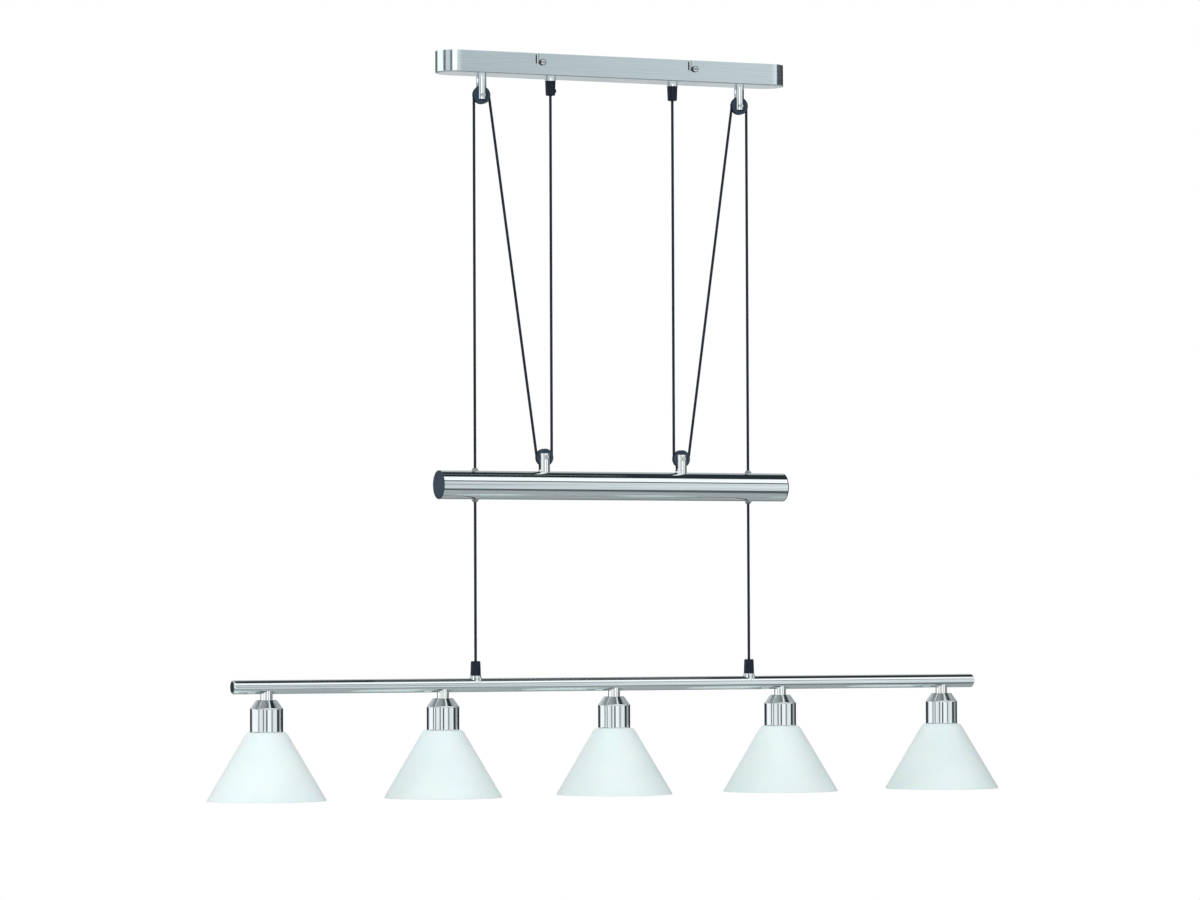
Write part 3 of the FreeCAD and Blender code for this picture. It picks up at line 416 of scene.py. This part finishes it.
# The glands are smooth: a blue black with a fine grain, rubbed a little duller in places.
nylon, tree, shader = material("black_moulded_nylon")
where = put(tree, "TexCoord").outputs["Object"]
grain = put(tree, "TexNoise", {"Vector": where, "Scale": every(0.714), "Detail": 2.0})
rub = put(tree, "TexNoise", {"Vector": where, "Scale": every(6.25), "Detail": 4.0})
colour = put(tree, "ValToRGB", {"Fac": rub.outputs[0]},
             [(0.3, tint("#0A1421")), (0.7, tint("#122031"))])
gloss = put(tree, "MapRange", {"Value": rub.outputs[0], "From Min": 0.3, "From Max": 0.7,
                               "To Min": 0.28, "To Max": 0.42})
bump = put(tree, "Bump", {"Height": grain.outputs[0], "Strength": 0.25, "Distance": 0.03 * MM})
surface(tree, shader, Base_Color=colour.outputs[0], Roughness=gloss.outputs[0],
        Specular_IOR_Level=0.25, Normal=bump.outputs[0])
dress(nylon, "canopy_gland_left", "canopy_gland_right", "bar_gland_left", "bar_gland_right")

# The pulleys and the balance tube's end plugs are slate, with a coarser grain and less gloss.
dull_nylon, tree, shader = material("slate_moulded_nylon")
where = put(tree, "TexCoord").outputs["Object"]
grain = put(tree, "TexNoise", {"Vector": where, "Scale": every(1.11), "Detail": 3.0})
rub = put(tree, "TexNoise", {"Vector": where, "Scale": every(8.33), "Detail": 4.0})
colour = put(tree, "ValToRGB", {"Fac": rub.outputs[0]},
             [(0.3, tint("#2B3946")), (0.7, tint("#364654"))])
gloss = put(tree, "MapRange", {"Value": rub.outputs[0], "From Min": 0.3, "From Max": 0.7,
                               "To Min": 0.42, "To Max": 0.55})
bump = put(tree, "Bump", {"Height": grain.outputs[0], "Strength": 0.3, "Distance": 0.04 * MM})
surface(tree, shader, Base_Color=colour.outputs[0], Roughness=gloss.outputs[0],
        Specular_IOR_Level=0.25, Normal=bump.outputs[0])
dress(dull_nylon, "upper_pulley_left", "upper_pulley_right", "lower_pulley_left",
      "lower_pulley_right", "weight_cap_left", "weight_cap_right")


# ---------------------------------------------------------------- tubes
# The balance tube and the lamp bar are drawn steel tube, nickel plated and polished along
# on a fine belt.  Plugs pushed into them close their ends.

# The belt leaves a soft mirror with hairlines along it.  They are 0.05 mm wide, drawn 0.7 mm
# wide and 80 mm long so they show.
drawn_tube, tree, shader = material("polished_nickel_tube")
where = put(tree, "TexCoord").outputs["Object"]
stretched = put(tree, "Mapping", {"Vector": where,
                                  "Scale": (every(83.3), every(0.667), every(0.667))})
lines = put(tree, "TexNoise", {"Vector": stretched.outputs[0], "Scale": 1.0, "Detail": 4.0,
                               "Roughness": 0.6})
haze = put(tree, "TexNoise", {"Vector": where, "Scale": every(33.3), "Detail": 3.0})
colour = put(tree, "ValToRGB", {"Fac": lines.outputs[0]},
             [(0.3, tint("#D5DCDD")), (0.7, tint("#EAEEEE"))])
worn = put(tree, "MapRange", {"Value": haze.outputs[0], "From Min": 0.35, "From Max": 0.65,
                              "To Min": 0.05, "To Max": 0.08})
fine = put(tree, "MapRange", {"Value": lines.outputs[0], "From Min": 0.3, "From Max": 0.7,
                              "To Min": -0.01, "To Max": 0.03})
gloss = put(tree, "Math", {0: worn.outputs[0], 1: fine.outputs[0]}, operation="ADD")
bump = put(tree, "Bump", {"Height": lines.outputs[0], "Strength": 0.1, "Distance": 0.015 * MM})
surface(tree, shader, Base_Color=colour.outputs[0], Metallic=1.0, Roughness=gloss.outputs[0],
        Normal=bump.outputs[0])
dress(drawn_tube, "weight_tube", "bar_tube")


# ---------------------------------------------------------------- clear bushes
# Flared bushes of clear moulded polycarbonate that keep the cords off the edges of the
# holes through the balance tube, pressed in from above and below.

# Clear polycarbonate shows what is behind it, a little cloudy where it flowed in the mould.
clear, tree, shader = material("clear_polycarbonate")
where = put(tree, "TexCoord").outputs["Object"]
flow = put(tree, "TexNoise", {"Vector": where, "Scale": every(2.5), "Detail": 2.0})
colour = put(tree, "ValToRGB", {"Fac": flow.outputs[0]},
             [(0.3, tint("#E3ECEE")), (0.7, tint("#F6FAFA"))])
gloss = put(tree, "MapRange", {"Value": flow.outputs[0], "From Min": 0.3, "From Max": 0.7,
                               "To Min": 0.05, "To Max": 0.12})
bump = put(tree, "Bump", {"Height": flow.outputs[0], "Strength": 0.1, "Distance": 0.05 * MM})
surface(tree, shader, Base_Color=colour.outputs[0], Roughness=gloss.outputs[0],
        Transmission_Weight=0.85, IOR=1.58, Normal=bump.outputs[0])
dress(clear, "cord_bushes_left", "cord_bushes_right")


# ---------------------------------------------------------------- cups
# A cup over each lampholder, spun from thin steel with a chamfered shoulder, then nickel
# plated and polished downwards on a belt; it is held by the neck's nipple and nut.
def turned(outline, place, steps=96):
    """Turns (radius, height, rounding) corners, in mm, about an upright line at a place."""
    form = bmesh.new()
    corners = []
    following = outline[1:] + outline[:1]
    for (r, z, rounding), (next_r, next_z, next_rounding) in zip(outline, following):
        corners.append(form.verts.new((r, 0, z)))
        # A ring near each end of a long wall keeps its middle flat beside a rounded corner.
        hold = 1.6 * max(rounding, next_rounding)
        span = math.hypot(next_r - r, next_z - z)
        if hold and span > 4 * hold:
            for part in (hold / span, 1 - hold / span):
                corners.append(form.verts.new((r + (next_r - r) * part, 0,
                                               z + (next_z - z) * part)))
    sides = [form.edges.new(pair) for pair in zip(corners, corners[1:] + corners[:1])]
    bmesh.ops.spin(form, geom=corners + sides, cent=(0, 0, 0), axis=(0, 0, 1),
                   dvec=(0, 0, 0), angle=2 * math.pi, steps=steps, use_merge=True)
    bmesh.ops.remove_doubles(form, verts=form.verts, dist=1e-4)
    bmesh.ops.recalc_face_normals(form, faces=form.faces)
    for r, z, rounding in outline:
        if rounding:
            loop = [e for e in form.edges
                    if all(abs(v.co.z - z) < 1e-3 and abs(math.hypot(v.co.x, v.co.y) - r) < 1e-3
                           for v in e.verts)]
            bmesh.ops.bevel(form, geom=loop, offset=rounding, segments=3, profile=0.5,
                            affect="EDGES", material=-1)
    bmesh.ops.transform(form, verts=form.verts,
                        matrix=Matrix.Translation(place) @ Matrix.Scale(MM, 4))
    return form


def lamp_places():
    """Each lamp's number and the middle of its cup's top."""
    for number in range(1, 6):
        least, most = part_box("cup_%d" % number)
        yield number, Vector(((least.x + most.x) / 2, 0, most.z))


# Belt-polished nickel: a mirror with faint lines down it, 0.1 mm wide and drawn 0.6 mm wide
# and 70 mm long so they show.
cup_finish, tree, shader = material("spun_nickel_plate")
where = put(tree, "TexCoord").outputs["Object"]
stretched = put(tree, "Mapping", {"Vector": where,
                                  "Scale": (every(0.625), every(0.625), every(71.4))})
lines = put(tree, "TexNoise", {"Vector": stretched.outputs[0], "Scale": 1.0, "Detail": 4.0})
haze = put(tree, "TexNoise", {"Vector": where, "Scale": every(16.7), "Detail": 3.0})
colour = put(tree, "ValToRGB", {"Fac": lines.outputs[0]},
             [(0.3, tint("#CBD2D4")), (0.7, tint("#E1E6E7"))])
gloss = put(tree, "MapRange", {"Value": haze.outputs[0], "From Min": 0.35, "From Max": 0.65,
                               "To Min": 0.05, "To Max": 0.09})
bump = put(tree, "Bump", {"Height": lines.outputs[0], "Strength": 0.08, "Distance": 0.015 * MM})
surface(tree, shader, Base_Color=colour.outputs[0], Metallic=1.0, Roughness=gloss.outputs[0],
        Normal=bump.outputs[0])

# Sizes of the lamps' parts are in mm, with heights from the top of the cup.
NIPPLE_HOLE_R = 5.2
CUP_TOP_R, CUP_R = 12.5, 20.0
CUP_CHAMFER, CUP_HEIGHT = 10.5, 39.0
CUP_TOP_T, CUP_WALL = 1.0, 0.8
chamfer_lean = math.atan2(CUP_R - CUP_TOP_R, CUP_CHAMFER)
inner_top_r = CUP_TOP_R + CUP_TOP_T * math.tan(chamfer_lean) - CUP_WALL / math.cos(chamfer_lean)
inner_chamfer = CUP_CHAMFER + CUP_WALL * math.tan(chamfer_lean / 2)
inner_r = CUP_R - CUP_WALL
CUP = [(NIPPLE_HOLE_R, 0, 0), (CUP_TOP_R, 0, 0.5), (CUP_R, -CUP_CHAMFER, 0.8),
       (CUP_R, -CUP_HEIGHT, 0.25), (inner_r, -CUP_HEIGHT, 0.25), (inner_r, -inner_chamfer, 0.5),
       (inner_top_r, -CUP_TOP_T, 0.4), (NIPPLE_HOLE_R, -CUP_TOP_T, 0)]
for number, place in lamp_places():
    cup = piece("spun_cup_%d" % number, turned(CUP, place), cup_finish)
    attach(cup, "lamp_bar")
    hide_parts("cup_%d" % number)


# ---------------------------------------------------------------- lampholders
# Small screw lampholders moulded in the white nylon of their rings, threaded outside for
# the ring that carries the shade, with a rolled brass screw shell and a contact inside.
NECK_NUT_T = 3.0
HOLDER_BORE_R, BOSS_R, CAP_R, HOLDER_R, CHAMBER_R = 5.15, 8.0, 13.0, 14.0, 8.0
SOCKET_R, SOCKET_DEPTH, SOCKET_FLOOR = 7.0, 22.0, 3.0
HOLDER_TOP = -CUP_TOP_T - NECK_NUT_T
BOSS_END = HOLDER_TOP - 7.0
CAP_SLOPE_END = BOSS_END - 5.0
CAP_END = BOSS_END - 20.0
HOLDER_END = HOLDER_TOP - 56.0
SOCKET_TOP = HOLDER_END + SOCKET_DEPTH
HOLDER = [(HOLDER_BORE_R, HOLDER_TOP, 0), (BOSS_R, HOLDER_TOP, 0.5), (BOSS_R, BOSS_END, 0),
          (CAP_R, CAP_SLOPE_END, 0.6), (CAP_R, CAP_END, 0.4), (HOLDER_R, CAP_END, 0.3)]
# Thirteen turns of a 2 mm thread, 0.5 mm deep.
HOLDER += [(HOLDER_R - depth, CAP_END - 1.0 - 2.0 * turn_number - drop, 0)
           for turn_number in range(13)
           for depth, drop in ((0.0, 0.0), (0.5, 0.6), (0.5, 1.0), (0.0, 1.6))]
HOLDER += [(HOLDER_R, HOLDER_END, 0.6), (SOCKET_R, HOLDER_END, 0.6), (SOCKET_R, SOCKET_TOP, 0),
           (0, SOCKET_TOP, 0), (0, SOCKET_TOP + SOCKET_FLOOR, 0),
           (CHAMBER_R, SOCKET_TOP + SOCKET_FLOOR, 0), (CHAMBER_R, CAP_SLOPE_END, 0),
           (HOLDER_BORE_R, BOSS_END, 0)]

# Six turns of the shell's round thread, 2.8 mm apart.
SHELL_R = SOCKET_R - 0.05
SHELL_END, SHELL_TOP = HOLDER_END + 1.5, SOCKET_TOP - 2.6
SHELL = [(SHELL_R, SHELL_END, 0)]
SHELL += [(SHELL_R - depth, SHELL_END + 0.5 + 2.8 * turn_number + rise, 0)
          for turn_number in range(6)
          for depth, rise in ((0.05, 0.0), (0.6, 0.9), (0.7, 1.4), (0.6, 1.9))]
SHELL += [(SHELL_R - 0.05, SHELL_TOP, 0), (SHELL_R, SHELL_TOP, 0)]
CONTACT = [(r, SOCKET_TOP - drop, rounding) for r, drop, rounding in (
    (0, 0.1, 0), (2.6, 0.1, 0), (2.6, 0.6, 0), (1.7, 1.9, 0.3), (0, 2.4, 0))]

# Rolled brass: a warm yellow, browned in patches where it has tarnished.
brass, tree, shader = material("rolled_brass")
where = put(tree, "TexCoord").outputs["Object"]
tarnish = put(tree, "TexNoise", {"Vector": where, "Scale": every(3.85), "Detail": 4.0})
colour = put(tree, "ValToRGB", {"Fac": tarnish.outputs[0]},
             [(0.3, tint("#B8954E")), (0.7, tint("#DDBE77"))])
gloss = put(tree, "MapRange", {"Value": tarnish.outputs[0], "From Min": 0.3, "From Max": 0.7,
                               "To Min": 0.2, "To Max": 0.36})
bump = put(tree, "Bump", {"Height": tarnish.outputs[0], "Strength": 0.15, "Distance": 0.03 * MM})
surface(tree, shader, Base_Color=colour.outputs[0], Metallic=1.0, Roughness=gloss.outputs[0],
        Normal=bump.outputs[0])
for number, place in lamp_places():
    holder = piece("threaded_holder_%d" % number, turned(HOLDER, place, 64), white)
    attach(holder, "lamp_bar")
    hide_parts("lampholder_%d" % number)
    for name, outline in (("screw_shell_%d", SHELL), ("contact_%d", CONTACT)):
        inside = piece(name % number, turned(outline, place, 48), brass)
        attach(inside, "lamp_bar")


# ---------------------------------------------------------------- shades
# Cones of opal glass, blown white through their thickness and etched satin outside, with
# a flat collar that the ring clamps and a ground rim.

# Satin opal glass glows a soft white, cooler where its opal layer is thicker, over about
# 60 mm.  The etching is drawn 0.33 mm wide so it shows.
opal, tree, shader = material("satin_opal_glass")
where = put(tree, "TexCoord").outputs["Object"]
cloud = put(tree, "TexNoise", {"Vector": where, "Scale": every(62.5), "Detail": 1.0})
etch = put(tree, "TexNoise", {"Vector": where, "Scale": every(0.333), "Detail": 2.0})
wave = put(tree, "TexNoise", {"Vector": where, "Scale": every(18.2), "Detail": 1.0})
colour = put(tree, "ValToRGB", {"Fac": cloud.outputs[0]},
             [(0.3, tint("#E3F0EF")), (0.7, tint("#E9F5F4"))])
gloss = put(tree, "MapRange", {"Value": cloud.outputs[0], "From Min": 0.3, "From Max": 0.7,
                               "To Min": 0.42, "To Max": 0.5})
satin = put(tree, "Bump", {"Height": etch.outputs[0], "Strength": 0.1, "Distance": 0.02 * MM})
bump = put(tree, "Bump", {"Height": wave.outputs[0], "Strength": 0.05, "Distance": 0.2 * MM,
                          "Normal": satin.outputs[0]})
surface(tree, shader, Base_Color=colour.outputs[0], Roughness=gloss.outputs[0], IOR=1.5,
        Subsurface_Weight=0.4, Subsurface_Scale=0.004, Normal=bump.outputs[0])

SHADE_BORE_R, SHADE_SHOULDER_R, SHADE_RIM_R = 14.4, 25.5, 72.5
SHADE_SHOULDER_DROP, SHADE_HEIGHT, GLASS = 2.5, 82.5, 2.4
SHADE_TOP, SHADE_RIM = -CUP_HEIGHT, -CUP_HEIGHT - SHADE_HEIGHT
shoulder = SHADE_TOP - SHADE_SHOULDER_DROP
slope = (SHADE_RIM_R - SHADE_SHOULDER_R) / (shoulder - SHADE_RIM)
level_glass = GLASS * math.hypot(1, slope)     # the cone's glass, measured level
under_top_r = SHADE_SHOULDER_R + slope * (shoulder - SHADE_TOP + GLASS) - level_glass
SHADE = [(SHADE_BORE_R, SHADE_TOP, 0.3),
         (SHADE_SHOULDER_R - SHADE_SHOULDER_DROP, SHADE_TOP, 1.2),
         (SHADE_SHOULDER_R, shoulder, 1.6), (SHADE_RIM_R, SHADE_RIM, 0.7),
         (SHADE_RIM_R - level_glass, SHADE_RIM, 0.7), (under_top_r, SHADE_TOP - GLASS, 1.6),
         (SHADE_BORE_R, SHADE_TOP - GLASS, 0.3)]
for number, place in lamp_places():
    shade = piece("opal_shade_%d" % number, turned(SHADE, place, 160), opal)
    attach(shade, "lamp_bar")
    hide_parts("shade_%d" % number)


# ---------------------------------------------------------------- floor
# A plain pale painted floor well below the shades; it fades out at its edge, and is clear
# from underneath so that the lampholders can be seen.
FLOOR_Z, FLOOR_R = -1.6, 1.45
FADE_FROM, FADE_TO = 0.95, 1.4

# Matt floor paint: an even light grey, faintly mottled.
floor_paint, tree, shader = material("pale_floor_paint")
where = put(tree, "TexCoord").outputs["Object"]
mottle = put(tree, "TexNoise", {"Vector": where, "Scale": every(333), "Detail": 4.0})
colour = put(tree, "ValToRGB", {"Fac": mottle.outputs[0]},
             [(0.3, tint("#BEC4C6")), (0.7, tint("#C6CBCD"))])
surface(tree, shader, Base_Color=colour.outputs[0], Roughness=0.7)
flat = put(tree, "VectorMath", {0: where, 1: (1, 1, 0)}, operation="MULTIPLY")
distance = put(tree, "VectorMath", {0: flat.outputs[0]}, operation="LENGTH")
fade = put(tree, "MapRange", {"Value": distance.outputs["Value"], "From Min": FADE_FROM,
                              "From Max": FADE_TO}, interpolation_type="SMOOTHSTEP")
under = put(tree, "NewGeometry").outputs["Backfacing"]
gone = put(tree, "Math", {0: fade.outputs[0], 1: under}, operation="MAXIMUM")
nothing = put(tree, "BsdfTransparent")
mixed = put(tree, "MixShader", {0: gone.outputs[0], 1: shader.outputs[0],
                                2: nothing.outputs[0]})
tree.links.new(mixed.outputs[0], tree.nodes["Material Output"].inputs["Surface"])
form = bmesh.new()
bmesh.ops.create_circle(form, cap_ends=True, segments=96, radius=FLOOR_R,
                        matrix=Matrix.Translation((0, 0, FLOOR_Z)))
mesh = bpy.data.meshes.new("floor")
form.to_mesh(mesh)
form.free()
mesh.materials.append(floor_paint)
floor = bpy.data.objects.new("floor", mesh)
scene.collection.objects.link(floor)


# ---------------------------------------------------------------- studio
# A pale room, long soft boxes in front and above with dark gaps between them, and upright
# panels round the horizon, which is what bright metal needs to look like metal.
world = bpy.data.worlds.new("studio")
scene.world = world
world.use_nodes = True
tree = world.node_tree
tree.nodes.clear()
way = put(tree, "TexCoord").outputs["Generated"]
xyz = put(tree, "SeparateXYZ", {0: way})
front = put(tree, "Math", {0: xyz.outputs["Y"], 1: -1.0}, operation="MULTIPLY")
climb = put(tree, "Math", {0: xyz.outputs["Z"], 1: front.outputs[0]}, operation="ARCTAN2")
climb = put(tree, "MapRange", {"Value": climb.outputs[0], "From Min": -math.pi,
                               "From Max": math.pi})


def grey(level, cool=0.0):
    """A neutral level of light, a little blue where cool is over nought."""
    return [level * (1 - cool), level, level * (1 + cool * 0.5), 1.0]


def around(bands):
    """Ramp stops from (degrees, colour) pairs, -180 to 180."""
    return [(0.5 + degrees / 360, colour) for degrees, colour in bands]


# Level bands, in degrees up from the front, with the back at 180 either way.
high = put(tree, "ValToRGB", {"Fac": climb.outputs[0]}, around([
    (-180, grey(0.74, 0.05)), (-170, grey(0.74, 0.05)), (-162, grey(0.22, 0.1)),
    (-142, grey(0.22, 0.1)), (-132, grey(0.5, 0.1)), (-60, grey(0.5, 0.1)),
    (-50, grey(0.12, 0.15)), (-32, grey(0.12, 0.15)), (-28, grey(0.8, 0.07)),
    (22, grey(0.88, 0.06)), (25, grey(0.9, 0.05)), (27, grey(0.12, 0.1)), (34, grey(0.12, 0.1)),
    (36, grey(1.25)), (64, grey(1.25)), (70, grey(0.5)), (116, grey(0.5)), (124, grey(0.5, 0.03)),
    (150, grey(0.6, 0.03)), (166, grey(1.0))]))
# Overhead hangs a dark flag on the right with a bright gap beside it.
flagged = put(tree, "ValToRGB", {"Fac": climb.outputs[0]}, around([
    (-180, grey(0.0)), (66, grey(0.0)), (69, grey(1.0)), (120, grey(1.0)), (125, grey(0.0))]))
flag = put(tree, "MapRange", {"Value": xyz.outputs["X"], "From Min": -1.0, "From Max": 1.0})
flag = put(tree, "ValToRGB", {"Fac": flag.outputs[0]}, [
    (0.0, grey(0.6)), (0.35, grey(0.4)), (0.52, grey(0.2, 0.1)), (0.55, grey(0.24, 0.1)),
    (0.565, grey(1.3)), (0.61, grey(1.3)), (0.635, grey(0.03, 0.3)), (0.78, grey(0.035, 0.3)),
    (0.85, grey(0.5))])
high = put(tree, "Mix", {0: flagged.outputs[0], 6: high.outputs[0], 7: flag.outputs[0]},
           data_type="RGBA")
# Upright panels near the horizon, in degrees to the right of the eye.
right_hand = (math.cos(EYE_TURN), -math.sin(EYE_TURN), 0)
towards = (-math.sin(EYE_TURN), -math.cos(EYE_TURN), 0)
sideways = put(tree, "VectorMath", {0: way, 1: right_hand}, operation="DOT_PRODUCT")
forwards = put(tree, "VectorMath", {0: way, 1: towards}, operation="DOT_PRODUCT")
swing = put(tree, "Math", {0: sideways.outputs["Value"], 1: forwards.outputs["Value"]},
            operation="ARCTAN2")
swing = put(tree, "MapRange", {"Value": swing.outputs[0], "From Min": -math.pi,
                               "From Max": math.pi})
low = put(tree, "ValToRGB", {"Fac": swing.outputs[0]}, around([
    (-180, grey(0.05, 0.2)), (-125, grey(0.05, 0.2)), (-114, grey(0.9, 0.06)),
    (-108, grey(1.3)), (-57, grey(1.3)), (-55, grey(0.35, 0.1)),
    (-49, grey(0.35, 0.1)), (-46, grey(1.15)), (-24, grey(1.1)), (-21, grey(0.35, 0.1)),
    (-14, grey(0.35, 0.1)), (-11, grey(1.2)), (-1, grey(1.2)), (2, grey(0.07, 0.2)),
    (9, grey(0.07, 0.2)), (12, grey(1.3)), (36, grey(1.2)), (39, grey(0.36, 0.1)),
    (46, grey(0.36, 0.1)), (49, grey(1.0, 0.05)), (78, grey(1.15)), (83, grey(0.05, 0.2)),
    (99, grey(0.05, 0.2)), (104, grey(0.45, 0.05)), (122, grey(0.45, 0.05)),
    (128, grey(0.04, 0.2)), (180, grey(0.04, 0.2))]))
# Higher up the walls the panels stand a little round from those below.
upper = put(tree, "ValToRGB", {"Fac": swing.outputs[0]}, around([
    (-180, grey(0.15, 0.15)), (-127, grey(0.2, 0.15)), (-116, grey(1.4, 0.06)),
    (-72, grey(1.5, 0.04)), (-67, grey(0.1, 0.1)), (-54, grey(0.1, 0.12)),
    (-50, grey(0.85, 0.1)), (-24, grey(0.75, 0.1)), (-21, grey(0.12, 0.15)),
    (-11, grey(0.12, 0.15)), (-8, grey(1.7)), (15, grey(1.6)), (20, grey(0.95, 0.07)),
    (38, grey(0.75, 0.09)), (45, grey(0.56, 0.12)), (50, grey(0.85, 0.08)),
    (78, grey(1.1, 0.06)), (84, grey(0.06, 0.2)), (180, grey(0.05, 0.2))]))
rise = put(tree, "MapRange", {"Value": xyz.outputs["Z"], "From Min": 0.05, "From Max": 0.09})
low = put(tree, "Mix", {0: rise.outputs[0], 6: low.outputs[0], 7: upper.outputs[0]},
          data_type="RGBA")
level = put(tree, "MapRange", {"Value": xyz.outputs["Z"], "From Min": -1.0, "From Max": 1.0})
near_level = put(tree, "ValToRGB", {"Fac": level.outputs[0]}, [
    (0.455, grey(0.0)), (0.475, grey(1.0)), (0.56, grey(1.0)), (0.64, grey(0.0))])
studio = put(tree, "Mix", {0: near_level.outputs[0], 6: high.outputs[2], 7: low.outputs[2]},
             data_type="RGBA")
# The eye sees plain white behind the object, and through its clear bushes.
rays = put(tree, "LightPath")
seen = put(tree, "Math", {0: rays.outputs["Is Camera Ray"],
                          1: rays.outputs["Is Transmission Ray"]}, operation="MAXIMUM")
shown = put(tree, "Mix", {0: seen.outputs[0], 6: studio.outputs[2], 7: (1, 1, 1, 1)},
            data_type="RGBA")
light = put(tree, "Background", {"Color": shown.outputs[2], "Strength": 1.0})
put(tree, "OutputWorld", {"Surface": light.outputs[0]})

# One large soft lamp above and in front lights the shades, and a weaker one fills in their
# left sides.  Both are kept from the metal, which sees only the room's own panels.
LAMP_SIDE = 1.6
AIM = Vector((0, 0, -0.7))
for name, place, watts in (("soft_box", Vector((-1.6, -2.2, 1.3)), 35.0),
                           ("fill", Vector((-2.9, 0.7, 0.2)), 11.0)):
    lamp = bpy.data.lights.new(name, "AREA")
    lamp.shape = "SQUARE"
    lamp.size = LAMP_SIDE
    lamp.energy = watts
    box = bpy.data.objects.new(name, lamp)
    scene.collection.objects.link(box)
    box.location = place
    box.rotation_euler = (AIM - place).to_track_quat("-Z", "Y").to_euler()
    box.visible_glossy = False

scene.view_settings.view_transform = "Standard"
